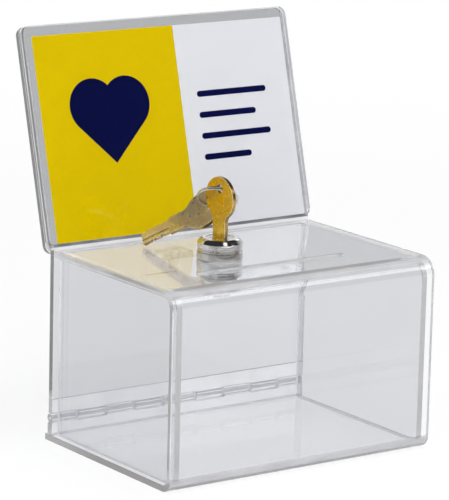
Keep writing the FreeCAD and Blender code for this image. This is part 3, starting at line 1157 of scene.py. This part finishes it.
@dataclass
class ClearBox:
    """Bent wrap of floor, front and top, with an end panel at each side."""

    sheet: float = 3.2
    top_radius: float = 9.5
    base_radius: float = 7.0
    relief: float = 0.5
    cement: float = 0.03
    edge: float = 0.35
    # bends that face further up than clear_up take the bend's painted light
    clear_up: float = 0.8
    over_cut: float = 1.0
    end_round: float = 0.998
    panel_edge: float = 0.21
    slot_length: float = 89.0
    slot_width: float = 4.6
    slot_y: float = -22.85
    hole_diameter: float = 19.3
    hole_flats: float = 16.9
    lock: Pair = (-15.7, 0.0)
    low: Vector = field(default_factory=lambda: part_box("wrap_sheet")[0] / MM)
    high: Vector = field(default_factory=lambda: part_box("wrap_sheet")[1] / MM)
    top_back: float = field(default_factory=lambda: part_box("left_side_panel")[1].y / MM)

    def wrap(self) -> bpy.types.Object:
        """Bend the wrap and cut the slot and the lock's hole.

        Returns:
            The piece.
        """
        corners = [(self.top_back, self.high.z), (self.low.y, self.high.z)]
        corners += [(self.low.y, self.low.z), (self.high.y, self.low.z)]
        line = Fold(corners, [0, self.top_radius, self.base_radius, 0], Side.LEFT)
        rows = [((p.x, p.y), (n.x, n.y), self.low.x, self.high.x) for p, n in line.samples()]
        made = Shape.sheet("box_wrap", rows, self.sheet, self.clear_up)
        under, over = self.high.z - self.sheet - self.over_cut, self.high.z + self.over_cut
        half, reach = self.slot_length / 2, self.slot_width / 2
        low, high = (-half, self.slot_y - reach), (half, self.slot_y + reach)
        slot = Outline.rectangle(low, high, [reach * self.end_round] * 4)
        tools = [Shape.prism("slot_tool", slot.points(), under, over)]
        tools.append(Shape.prism("hole_tool", self._hole(), under, over))
        return Shape.soften(Shape.carve(made, Carving.CUT, tools), self.edge)

    def _hole(self) -> list[Pair]:
        """Round hole with two flats.

        Returns:
            Its outline.
        """
        flat = self.hole_flats / 2
        circle = Outline.circle((0.0, 0.0), self.hole_diameter / 2, ROUND_STEPS)
        return [(self.lock[0] + max(-flat, min(flat, x)), self.lock[1] + y) for x, y in circle]

    def panel(self, name: str, node: str) -> bpy.types.Object:
        """End panel, its front corners clear of the bends and its edges just into the cement.

        Args:
            name: the piece's name.
            node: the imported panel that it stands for.

        Returns:
            The piece.
        """
        low, high = (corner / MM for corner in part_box(node))
        base = self.base_radius - self.sheet + self.relief
        top = self.top_radius - self.sheet + self.relief
        grown = self.cement
        outline = Outline.rectangle(
            (low.y - grown, low.z - grown), (high.y, high.z + grown), [base, 0, 0, top]
        )
        made = Shape.prism(name, outline.points(), low.x, high.x, Shape.ALONG_X)
        return Shape.soften(made, self.panel_edge)

    def build(self) -> None:
        """Make and fit the wrap and both panels."""
        fit(self.wrap(), Finishes.SHEET, "box", "clear_sheet", "wrap_sheet")
        for side, finish in {"left": Finishes.NEAR_PANEL, "right": Finishes.PANEL}.items():
            node = side + "_side_panel"
            fit(self.panel(side + "_end_panel", node), finish, "box", "clear_panel", node)


@dataclass
class BackHinge:
    """Two strips with interlocking knuckles and the pin through them."""

    knuckle: float = 4.6
    knuckle_count: int = 9
    knuckle_gap: float = 0.4
    bore: float = 1.7
    web_rear: float = 56.75
    door_front: float = 53.55
    axis: Pair = (55.85, 12.0)
    sill_rear: float = 57.55
    sill: Pair = (3.2, 9.35)
    leaf: Pair = (22.0, 14.65)
    over_cut: float = 1.0

    def _strip(self, name: str, node: str, rear: float, strip: Pair, first: int) -> bpy.types.Object:
        """One strip whose every second knuckle reaches the axis.

        Args:
            name: the piece's name.
            node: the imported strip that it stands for.
            rear: the strip's rear face.
            strip: its far edge and its edge beside the knuckles, in height.
            first: its first knuckle.

        Returns:
            The piece.
        """
        low, high = (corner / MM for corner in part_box(node))
        far, near = strip
        plain = [(self.door_front, far), (rear, far), (self.web_rear, near), (self.door_front, near)]
        if rear != self.web_rear:
            plain.insert(2, (rear, near))
        up = 1.0 if near > far else -1.0
        radius = self.knuckle / 2
        reach = self.web_rear - self.axis[0]
        start = math.asin(-math.sqrt(1 - (reach / radius) ** 2))
        bulge = []
        for angle in spread(start, math.pi, BORE_STEPS):
            y = self.axis[0] + radius * math.cos(angle)
            bulge.append((y, self.axis[1] + up * radius * math.sin(angle)))
        pitch = (high.x - low.x) / self.knuckle_count
        made = Shape.prism(name, plain, low.x, high.x, Shape.ALONG_X)
        tools = []
        for i in range(first, self.knuckle_count, 2):
            x0 = low.x + i * pitch + self.knuckle_gap / 2
            web = [(self.door_front, (far + near) / 2), (self.web_rear, (far + near) / 2)] + bulge
            tools.append(Shape.prism("knuckle_tool", web, x0, x0 + pitch - self.knuckle_gap, Shape.ALONG_X))
        for piece in [made] + tools:
            Shape.outward(piece)
        Shape.carve(made, Carving.JOIN, tools)
        circle = Outline.circle(self.axis, self.bore / 2, BORE_STEPS)
        left, right = low.x - self.over_cut, high.x + self.over_cut
        drill = Shape.prism("bore_tool", circle, left, right, Shape.ALONG_X)
        return Shape.smooth(Shape.carve(made, Carving.CUT, [drill]))

    def build(self) -> None:
        """Make and fit both strips and the pin."""
        sill = self._strip("hinge_sill_strip", "hinge_sill", self.sill_rear, self.sill, 0)
        fit(sill, Finishes.HINGE, "box", "clear_hinge", "hinge_sill")
        leaf = self._strip("hinge_door_strip", "door_hinge_leaf", self.web_rear, self.leaf, 1)
        fit(leaf, Finishes.HINGE, "door", "clear_hinge", "door_hinge_leaf")
        dress("hinge_pin", Finishes.PIN)


@dataclass
class SignDoor:
    """Back door that leans back into the sign header, with the pocket's rear sheet and spacers."""

    sheet: float = 3.2
    door_half: float = 79.4
    door_y: float = 53.55
    door_bottom: float = 22.0
    bend_z: float = 99.9
    tilt: float = 15.0
    bend_radius: float = 8.2
    bend_support: float = 0.4
    head_half: float = 81.4
    head_top: float = 113.0
    shoulder: float = 2.0
    shoulder_radius: float = 3.5
    corner_radius: float = 4.5
    rear_bottom: float = -1.9
    pocket_front: float = -3.2
    pocket_back: float = -4.2
    ledge: Pair = (1.1, 2.6)
    spacer_width: float = 2.0
    spacer_bottom: float = 4.0
    spacer_top: float = 112.0
    strip_corner: float = 0.4
    ledge_corner: float = 0.3
    cement: float = 0.03
    edge: float = 0.35

    def header_frame(self) -> Matrix:
        """Frame of the leaning header: Y up its slope and Z out of its front face."""
        return Shape.at(0, self.door_y, self.bend_z) @ Matrix.Rotation(math.radians(90 - self.tilt), 4, "X")

    def _header_rows(self) -> list[Pair]:
        """Outline of the header's right half.

        Returns:
            (height up the slope, half width) from the bend to the top.
        """
        rows = []
        middle = self.head_half - self.shoulder_radius
        start = math.asin((self.door_half - middle) / self.shoulder_radius)
        for angle in spread(start, math.pi / 2):
            height = self.shoulder + self.shoulder_radius * (1 - math.cos(angle))
            rows.append((height, middle + self.shoulder_radius * math.sin(angle)))
        for angle in spread(0.0, math.pi / 2):
            height = self.head_top - self.corner_radius * (1 - math.sin(angle))
            rows.append((height, self.head_half - self.corner_radius * (1 - math.cos(angle))))
        return rows

    def door(self) -> bpy.types.Object:
        """Door and the header's front sheet in one bent sheet.

        Returns:
            The piece.
        """
        lean = math.radians(self.tilt)
        way = Vector((math.sin(lean), math.cos(lean)))
        corner = Vector((self.door_y, self.bend_z))
        far = corner + way * self.head_top
        corners = [(self.door_y, self.door_bottom), tuple(corner), tuple(far)]
        line = Fold(corners, [0, self.bend_radius, 0], Side.RIGHT, self.bend_support)
        samples = line.samples()[:-1]
        rows = [((p.x, p.y), (n.x, n.y), -self.door_half, self.door_half) for p, n in samples]
        inward = (math.cos(lean), -math.sin(lean))
        for height, half in self._header_rows():
            point = corner + way * height
            rows.append(((point.x, point.y), inward, -half, half))
        # the bevelled edges take the bend finish, a painted highlight
        return Shape.soften(Shape.sheet("door_and_header", rows, self.sheet), self.edge, 3, Face.BEND)

    def build(self) -> None:
        """Make and fit the door, the rear sheet and the spacers."""
        place = self.header_frame()
        fit(self.door(), Finishes.DOOR, "door", "clear_door", "door_sheet")
        half = self.head_half
        rear = Outline.rectangle((-half, self.rear_bottom), (half, self.head_top), [self.corner_radius] * 4)
        pocket = self.pocket_back
        made = Shape.prism("header_rear", rear.points(), pocket - self.sheet, pocket, place)
        # the bevelled edges take the bend finish, a painted highlight
        Shape.soften(made, self.edge, 3, Face.BEND)
        fit(made, Finishes.REAR, "door", "clear_door", "header_back_sheet")
        back, front = self.pocket_back - self.cement, self.pocket_front + self.cement
        strips = {"left": (-half, self.spacer_width - half), "right": (half - self.spacer_width, half)}
        for side, (left, right) in strips.items():
            inset = self.cement if side == "left" else -self.cement
            low, high = (left + inset, self.spacer_bottom), (right + inset, self.spacer_top)
            outline = Outline.rectangle(low, high, [self.strip_corner] * 4)
            made = Shape.prism(side + "_spacer", outline.points(), back, front, place)
            node = side + "_pocket_spacer"
            fit(Shape.smooth(made), Finishes.STRIP, "door", "clear_spacer", node)
        inner = half - self.spacer_width
        outline = Outline.rectangle((-inner, self.ledge[0]), (inner, self.ledge[1]), [self.ledge_corner] * 4)
        made = Shape.prism("ledge_spacer", outline.points(), back, front, place)
        fit(Shape.smooth(made), Finishes.LEDGE, "door", "clear_spacer", "bottom_pocket_spacer")


@dataclass
class Keeper:
    """Bracket inside the door and the pin that the cam hooks round."""

    sheet: float = 3.2
    width: float = 18.0
    nose: float = 35.5
    top: float = 92.6
    foot: float = 78.4
    door_y: float = 53.55
    bend_radius: float = 5.2
    pin: Pair = (-15.7, 40.5)
    pin_hole: float = 5.04
    over_cut: float = 1.0
    cement: float = 0.03
    edge: float = 0.3

    def build(self) -> None:
        """Make and fit the bracket, and dress the pin."""
        rear = self.door_y + self.cement
        corners = [(self.nose, self.top), (rear, self.top), (rear, self.foot)]
        line = Fold(corners, [0, self.bend_radius, 0], Side.RIGHT)
        left, right = self.pin[0] - self.width / 2, self.pin[0] + self.width / 2
        rows = [((p.x, p.y), (n.x, n.y), left, right) for p, n in line.samples()]
        made = Shape.sheet("keeper_bracket", rows, self.sheet)
        circle = Outline.circle(self.pin, self.pin_hole / 2, HOLE_STEPS)
        drill = Shape.prism("pin_tool", circle, self.foot, self.top + self.over_cut)
        Shape.soften(Shape.carve(made, Carving.CUT, [drill]), self.edge)
        fit(made, Finishes.CLEAR, "door", "clear_hinge", "keeper_arm")
        dress("keeper_pin", Finishes.ZINC)


@dataclass
class SignCard:
    """Printed card that stands in the header's pocket."""

    left: float = -75.4
    right: float = 79.0
    bottom: float = 2.7
    top: float = 107.7
    back: float = -3.9
    front: float = -3.5
    corner: float = 0.8
    edge: float = 0.06

    def build(self, place: Matrix) -> None:
        """Make and fit the card.

        Args:
            place: the header's frame.
        """
        outline = Outline.rectangle((self.left, self.bottom), (self.right, self.top), [self.corner] * 4)
        made = Shape.prism("sign_card_print", outline.points(), self.back, self.front, place)
        fit(Shape.soften(made, self.edge, 2), Finishes.CARD, "card", "card_stock", "sign_card")


@dataclass
class CamLock:
    """Chromed lock: collar, rings and bezel on the top, barrel and nut under it."""

    axis: Pair = (-15.7, 0.0)
    top: float = 99.3
    collar_radius: float = 11.5
    collar_height: float = 4.0
    collar_foot: float = 0.5
    collar_rounds: tuple[float, ...] = (0, 0.25, 0.35, 0.25, 0)
    ring_round: float = 0.3
    bezel_rounds: Pair = (0.2, 0.3)
    bore_radius: float = 9.65
    ring_radius: float = 11.15
    ring_height: float = 1.15
    ring_count: int = 2
    bezel_top: float = 10.8
    bezel_base: float = 6.3
    bezel_drop: float = 2.4
    shoulder_radius: float = 2.2
    shoulder_start: float = 9.6
    head_bore: float = 7.09
    plug_bore: float = 6.09
    head_floor: float = 8.7
    barrel_radius: float = 9.5
    barrel_end: float = -10.7
    flats: float = 16.6
    thread_pitch: float = 1.0
    thread_depth: float = 0.45
    thread_rows: int = 8
    near: float = 0.01
    housing_angle: float = 40.0
    recess: Pair = (199.0, 321.0)
    recess_depth: float = 1.6
    over_cut: float = 1.0
    wall: float = 1.0

    def place(self) -> Matrix:
        """Frame of the lock: Z up its axis from the box top."""
        return Shape.at(self.axis[0], self.axis[1], self.top)

    def collar(self) -> bpy.types.Object:
        """Lower collar with a soft foot.

        Returns:
            The piece.
        """
        r, h, b, foot = self.collar_radius, self.collar_height, self.bore_radius, self.collar_foot
        outline = Outline([(b, 0), (r - foot, 0), (r, foot), (r, h), (b, h)], self.collar_rounds)
        return Shape.smooth(Shape.lathe("lock_collar_turned", outline.points(), self.place()), ROUND_ANGLE)

    def rings(self) -> list[bpy.types.Object]:
        """Thin rings between collar and bezel, each with round rims.

        Returns:
            The rings from the lowest.
        """
        made = []
        for i in range(self.ring_count):
            low = self.collar_height + i * self.ring_height
            high = low + self.ring_height
            rounds = [0, self.ring_round, self.ring_round, 0]
            outline = Outline.rectangle((self.bore_radius, low), (self.ring_radius, high), rounds)
            turned = Shape.lathe("lock_ring_%d" % i, outline.points(), self.place())
            made.append(Shape.smooth(turned, ROUND_ANGLE))
        return made

    def _barrel(self, radius: float, angle: float, height: float) -> Pair:
        """Thread and flats of the barrel.

        Args:
            radius: the plain radius.
            angle: where round the axis.
            height: where along it.

        Returns:
            The point's (x, y).
        """
        if abs(radius - self.barrel_radius) < self.near and height < 0:
            turn = (height / self.thread_pitch - angle / (2 * math.pi)) % 1.0
            radius -= self.thread_depth * abs(2 * turn - 1)
        x, y = radius * math.cos(angle), radius * math.sin(angle)
        if height < self.bezel_base and radius > self.plug_bore + self.wall:
            x = max(-self.flats / 2, min(self.flats / 2, x))
        return x, y

    def housing(self) -> bpy.types.Object:
        """Bezel with its rounded shoulder, and the threaded barrel.

        Returns:
            The piece.
        """
        r, b = self.collar_radius, self.barrel_radius
        corners = [(self.head_bore, self.bezel_top), (self.shoulder_start, self.bezel_top)]
        corners += [(r, self.bezel_top - self.bezel_drop), (r, self.bezel_base), (b, self.bezel_base)]
        corners += [(b, self.barrel_end), (self.plug_bore, self.barrel_end)]
        corners += [(self.plug_bore, self.head_floor), (self.head_bore, self.head_floor)]
        mouth, side = self.bezel_rounds
        radii = [mouth, self.shoulder_radius, side, side, 0, 0, 0, 0, 0]
        points = Outline(corners, radii).points()
        length = self.bezel_base - self.barrel_end
        steps = int(length / self.thread_pitch * self.thread_rows)
        points[-4:-4] = [(b, height) for height in spread(self.bezel_base, self.barrel_end, steps)[1:-1]]
        made = Shape.lathe("lock_housing_turned", list(reversed(points)), self.place(), self._barrel)
        return Shape.smooth(Shape.carve(made, Carving.CUT, [self._stop_recess()]), self.housing_angle)

    def _stop_recess(self) -> bpy.types.Object:
        """Tool for the step in the barrel's end that the stop washer's lug turns in.

        Returns:
            The tool.
        """
        outline = [(0.0, 0.0)]
        for turn in spread(*self.recess):
            angle = math.radians(turn)
            outline.append((self.collar_radius * math.cos(angle), self.collar_radius * math.sin(angle)))
        low, high = self.barrel_end - self.over_cut, self.barrel_end + self.recess_depth
        return Shape.prism("recess_tool", outline, low, high, self.place())

    def build(self) -> None:
        """Make and fit what shows of the lock, and dress the rest."""
        fit(self.collar(), Finishes.COLLAR, "box", "lock_chrome", "lock_collar")
        for ring in self.rings():
            fit(ring, Finishes.RINGS, "box", "ring_chrome", "lock_spacer_rings")
        fit(self.housing(), Finishes.CHROME, "box", "lock_chrome", "lock_housing")
        dress("lock_washer", Finishes.ZINC)
        dress("lock_nut", Finishes.ZINC)
        dress("lock_plug", Finishes.FACE)
        dress("wafer_tumblers", Finishes.WAFER)
        for node in ("wafer_springs", "stop_washer", "lock_cam", "cam_washer", "cam_screw"):
            dress(node, Finishes.ZINC)


@dataclass
class Keys:
    """Key in the lock, spare key and the split ring that holds both."""

    thickness: float = 2.0
    blade_width: float = 8.0
    blade_length: float = 16.5
    blade_point: float = 0.8
    neck_width: float = 10.5
    neck_fillet: float = 4.0
    bow_width: float = 23.4
    bow_height: float = 21.2
    length: float = 47.0
    hole_radius: float = 2.3
    hole_from_end: float = 6.0
    bites: int = 5
    bite_start: float = 3.6
    bite_pitch: float = 2.0
    bite_width: float = 1.8
    bite_step: float = 0.3
    groove_width: float = 1.4
    groove_depth: float = 0.4
    groove_offset: float = 1.2
    groove_stop: float = 0.6
    over_cut: float = 1.0
    rim: float = 0.4
    oval_start: float = -0.05
    tip_height: float = -5.7
    spare_tip: Triple = (-17.5, 42.47, 2.97)
    spare_turns: Triple = (7.49, 41.34, 48.42)
    ring_radius: float = 9.93
    ring_wire: Pair = (0.5, 0.46)
    ring_rise: float = 0.47
    ring_steps: int = 240
    ring_sides: int = 12
    ring_cross: Pair = (0.46, 0.08)
    ring_at: Triple = (2.9, 6.96, 29.22)
    ring_turns: Triple = (48.94, 40.38, 0.0)

    @staticmethod
    def turned(turns: Triple) -> Matrix:
        """Turn about all three axes.

        Args:
            turns: yaw, pitch and roll in degrees.

        Returns:
            The one rotation that they make.
        """
        yaw, pitch, roll = (math.radians(turn) for turn in turns)
        level = Matrix.Rotation(yaw, 4, "Z") @ Matrix.Rotation(pitch, 4, "Y")
        return level @ Matrix.Rotation(roll, 4, "X")

    def _bow_side(self) -> list[Pair]:
        """Right edge of neck and bow, with the fillet between them.

        Returns:
            (half width, height) from the shoulder to the top of the bow.
        """
        a, b = self.bow_width / 2, self.bow_height / 2
        middle = self.length - b
        flank = self.neck_width / 2
        centre_x = flank + self.neck_fillet

        def gap(angle: float) -> float:
            """How far the fillet's middle is from the offset oval at an angle."""
            normal = Vector((math.cos(angle) / a, math.sin(angle) / b)).normalized()
            return a * math.cos(angle) + normal.x * self.neck_fillet - centre_x

        low, high = -math.pi / 2, self.oval_start
        for _ in range(HALVINGS):
            split = (low + high) / 2
            low, high = (split, high) if gap(split) < 0 else (low, split)
        touch = (low + high) / 2
        normal = Vector((math.cos(touch) / a, math.sin(touch) / b)).normalized()
        oval_touch = Vector((a * math.cos(touch), middle + b * math.sin(touch)))
        centre = oval_touch + normal * self.neck_fillet
        end = math.atan2(-normal.y, -normal.x)
        start = -math.pi if end < 0 else math.pi
        points = [(flank, self.blade_length)]
        for angle in spread(start, end):
            point = centre + self.neck_fillet * Vector((math.cos(angle), math.sin(angle)))
            points.append((point.x, point.y))
        for angle in spread(touch, math.pi / 2, 2 * ARC_STEPS)[1:-1]:
            points.append((a * math.cos(angle), middle + b * math.sin(angle)))
        return points

    def _bitting(self) -> list[Pair]:
        """Cut edge of the blade from the neck to the tip.

        Returns:
            (width from the middle, height) points on the cut side.
        """
        edge = self.blade_width / 2
        points = [(edge, self.blade_length)]
        for i in reversed(range(self.bites)):
            middle = self.bite_start + i * self.bite_pitch
            depth = self.bite_step * (1 + i * 2 % 3)
            half = self.bite_width / 2
            points += [(edge, middle + half), (edge - depth, middle), (edge, middle - half)]
        return points

    def blank(self, name: str, place: Matrix) -> bpy.types.Object:
        """One key: bow, neck, grooved blade and cuts.

        Args:
            name: the piece's name.
            place: where its tip stands and how it is turned.

        Returns:
            The piece.
        """
        side = self._bow_side()
        edge, point = self.blade_width / 2, self.blade_point
        outline = [(edge, self.blade_length)] + side + [(0.0, self.length)]
        outline += [(-x, z) for x, z in reversed(side)]
        outline += [(-x, z) for x, z in self._bitting()]
        outline += [(-edge, point), (point - edge, 0.0), (edge - point, 0.0), (edge, point)]
        half = self.thickness / 2
        upright = place @ Shape.ALONG_X
        made = Shape.prism(name, outline, -half, half, upright)
        circle = Outline.circle((0.0, self.length - self.hole_from_end), self.hole_radius, HOLE_STEPS)
        tools = [Shape.prism("hole_tool", circle, -2 * half, 2 * half, upright)]
        for turn in (-1, 1):
            middle, reach = turn * self.groove_offset, self.groove_width / 2
            deep, out = turn * (half - self.groove_depth), turn * 2 * half
            start, stop = -self.over_cut, self.blade_length - self.groove_stop
            groove = Outline.rectangle((middle - reach, start), (middle + reach, stop), [0] * 4)
            tool = Shape.prism("groove_tool", groove.points(), min(deep, out), max(deep, out), upright)
            # the groove faces take the sides' painted shade
            for face in tool.data.polygons:
                face.material_index = Face.EDGE.value
            tools.append(tool)
        # the bevels take the rims' painted highlight
        return Shape.soften(Shape.carve(made, Carving.CUT, tools), self.rim, 3, Face.BEND)

    def ring(self, place: Matrix) -> bpy.types.Object:
        """Split ring of two turns that cross over between its ends.

        Args:
            place: its middle and its axis.

        Returns:
            The piece.
        """
        steps, sides = self.ring_steps, self.ring_sides
        across, along = self.ring_wire
        cross_start, cross_length = self.ring_cross
        corners, faces = [], []
        for share in spread(0.0, 1.0, steps):
            angle = 4 * math.pi * share
            cross = min(max((share - cross_start) / cross_length, 0.0), 1.0)
            rise = self.ring_rise * (2 * cross * cross * (3 - 2 * cross) - 1)
            for turn in spread(0.0, 2 * math.pi, sides)[:-1]:
                radius = self.ring_radius + across * math.cos(turn)
                height = rise + along * math.sin(turn)
                corners.append((radius * math.cos(angle), radius * math.sin(angle), height))
        for i in range(steps):
            for k in range(sides):
                a, b = i * sides + k, i * sides + (k + 1) % sides
                faces.append((a, b, b + sides, a + sides))
        faces += [tuple(reversed(range(sides))), tuple(range(steps * sides, (steps + 1) * sides))]
        return Shape.smooth(Shape.outward(Shape.piece("split_ring", corners, faces, place)), ROUND_ANGLE)

    def build(self, lock: Matrix) -> None:
        """Make and fit both keys and the ring.

        Args:
            lock: the lock's frame.
        """
        standing = lock @ Shape.at(0, 0, self.tip_height)
        fit(self.blank("key_in_lock", standing), Finishes.KEY, "key", "key_brass", "lock_key")
        hanging = lock @ Shape.at(*self.spare_tip) @ self.turned(self.spare_turns)
        fit(self.blank("key_spare", hanging), Finishes.SPARE, "spare", "key_brass", "spare_key")
        looped = lock @ Shape.at(*self.ring_at) @ self.turned(self.ring_turns)
        fit(self.ring(looped), Finishes.WIRE, "ring", "key_ring_steel", "key_ring")


@dataclass(frozen=True)
class PaleFloor(Finish):
    """Pale studio floor that reads white and keeps the box's shadow."""

    shade: Colour = (0.82, 0.82, 0.83, 1.0)
    rough: float = 0.8
    kept: float = 0.72
    near: float = 0.2
    far: float = 1.2

    def draw(self, graph: Graph) -> Value:
        """Draw the floor.

        Args:
            graph: where to draw.

        Returns:
            The shader.
        """
        plain = graph.principled(Base_Color=self.shade, Roughness=self.rough)
        white = graph.node("ShaderNodeEmission", None, {"Color": WHITE, "Strength": 1.0})
        away = graph.node("ShaderNodeVectorMath", {"operation": "LENGTH"}, {0: graph.place()}, "Value")
        share = graph.shown_ray() * (away.step(self.near, self.far) * (1.0 - self.kept) + self.kept)
        return graph.node("ShaderNodeMixShader", None, {0: share, 1: plain, 2: white})


@dataclass
class Lamp:
    """One soft studio lamp, which mirrors do not show."""

    name: str
    at: Triple
    aim: Triple
    size: Pair
    watts: float

    def build(self) -> None:
        """Hang the lamp and aim it."""
        data = bpy.data.lights.new(self.name, "AREA")
        data.shape = "RECTANGLE"
        data.size, data.size_y = self.size
        data.energy = self.watts
        made = bpy.data.objects.new(self.name, data)
        way = Vector(self.aim) - Vector(self.at)
        made.location = self.at
        made.rotation_euler = way.to_track_quat("-Z", "Y").to_euler()
        made.visible_glossy = False
        bpy.context.scene.collection.objects.link(made)


@dataclass(frozen=True)
class Softbox:
    """Round bright patch of the studio that only mirrors and glass show."""

    way: Triple
    fade: float = 0.984
    core: float = 0.994
    glow: float = 3.0

    def show(self, graph: Graph, way: Value, room: Value) -> Value:
        """Add the patch to the room.

        Args:
            graph: where to draw.
            way: the direction that is looked in.
            room: the room's colour so far.

        Returns:
            The room's colour with the patch.
        """
        ends = {0: way, 1: self.way}
        facing = graph.node("ShaderNodeVectorMath", {"operation": "DOT_PRODUCT"}, ends, "Value")
        return graph.mix(facing.step(self.fade, self.core), room, (self.glow, self.glow, self.glow, 1.0))


@dataclass
class Studio:
    """Floor, world, lamps and the camera at the photograph's angle."""

    floor_half: float = 12.0
    floor_drop: float = 0.05
    fill: float = 0.65
    dark: Colour = (0.03, 0.03, 0.03, 1.0)
    front_wall: Colour = (0.55, 0.55, 0.56, 1.0)
    front_wall_top: Pair = (0.06, 0.14)
    front_reach: Pair = (-0.3, 0.3)
    back_wall: tuple[tuple[float, Colour], ...] = (
        (0.5, (0.64, 0.64, 0.66, 1.0)),
        (0.62, (0.50, 0.50, 0.52, 1.0)),
        (0.74, (0.45, 0.45, 0.46, 1.0)),
        (0.80, dark),
    )
    softboxes: tuple[Softbox, ...] = (
        Softbox((0.567, -0.544, 0.618)),
        Softbox((0.76, 0.455, 0.46)),
        Softbox((0.092, -0.441, 0.893), 0.985, 0.999, 1.3),
    )
    eye: Triple = (-0.9003, -1.2446, 0.4444)
    forward: Triple = (0.5666, 0.7946, -0.2179)
    right: Triple = (0.8170, -0.5761, 0.0238)
    lens: float = 226.0
    film: float = 36.0
    lamps: tuple[Lamp, ...] = (
        Lamp("key_lamp", (-1.1, -1.0, 1.5), (0.0, 0.0, 0.1), (1.2, 1.2), 19.0),
        Lamp("top_lamp", (0.4, -0.5, 1.8), (0.0, 0.0, 0.1), (1.5, 1.5), 18.0),
    )

    def floor(self) -> None:
        """Lay the floor just under the box."""
        half = self.floor_half / MM
        corners = Outline.rectangle((-half, -half), (half, half), [0] * 4).points()
        made = Shape.piece("studio_floor", [(x, y, -self.floor_drop) for x, y in corners], [(0, 1, 2, 3)])
        PaleFloor("pale_floor").dress(made)

    def world(self) -> None:
        """Soft even fill, with a studio that metal mirrors and a white ground behind it."""
        world = bpy.data.worlds.new("studio")
        bpy.context.scene.world = world
        graph = Graph(world)
        way = graph.node("ShaderNodeTexCoord", output="Generated")
        _, depth, height = graph.axes(way)
        behind = graph.node("ShaderNodeValToRGB", {"stops": self.back_wall}, {0: height * 0.5 + 0.5})
        ahead = graph.mix(height.step(*self.front_wall_top), self.front_wall, self.dark)
        room = graph.mix(depth.step(*self.front_reach), ahead, behind)
        for softbox in self.softboxes:
            room = softbox.show(graph, way, room)
        mirrored = graph.light_path("Glossy Depth").least(1.0)
        shown = graph.mix(mirrored, WHITE, room)
        backdrop = graph.node("ShaderNodeBackground", None, {"Color": shown, "Strength": 1.0})
        soft = graph.node("ShaderNodeBackground", None, {"Color": WHITE, "Strength": self.fill})
        both = graph.node("ShaderNodeMixShader", None, {0: graph.shown_ray(), 1: soft, 2: backdrop})
        graph.node("ShaderNodeOutputWorld", None, {"Surface": both})

    def camera(self) -> None:
        """Place the camera where the photograph was taken from."""
        data = bpy.data.cameras.new("photo_camera")
        data.sensor_fit = "VERTICAL"
        data.sensor_height = self.film
        data.lens = self.lens
        made = bpy.data.objects.new("photo_camera", data)
        across, ahead = Vector(self.right), Vector(self.forward)
        above = across.cross(ahead)
        turn = Matrix((across, above, -ahead)).transposed().to_4x4()
        made.matrix_world = Matrix.Translation(Vector(self.eye)) @ turn
        bpy.context.scene.collection.objects.link(made)
        bpy.context.scene.camera = made

    def build(self) -> None:
        """Set up the whole studio."""
        bpy.context.scene.view_settings.view_transform = "Standard"
        self.floor()
        self.world()
        for lamp in self.lamps:
            lamp.build()
        self.camera()


def main() -> None:
    """Build the studio and every sub-assembly in order."""
    logging.basicConfig(level=logging.INFO, format="%(name)s: %(message)s")
    Studio().build()
    ClearBox().build()
    BackHinge().build()
    door = SignDoor()
    door.build()
    Keeper().build()
    SignCard().build(door.header_frame())
    lock = CamLock()
    lock.build()
    Keys().build(lock.place())


if __name__ == "__main__":
    main()
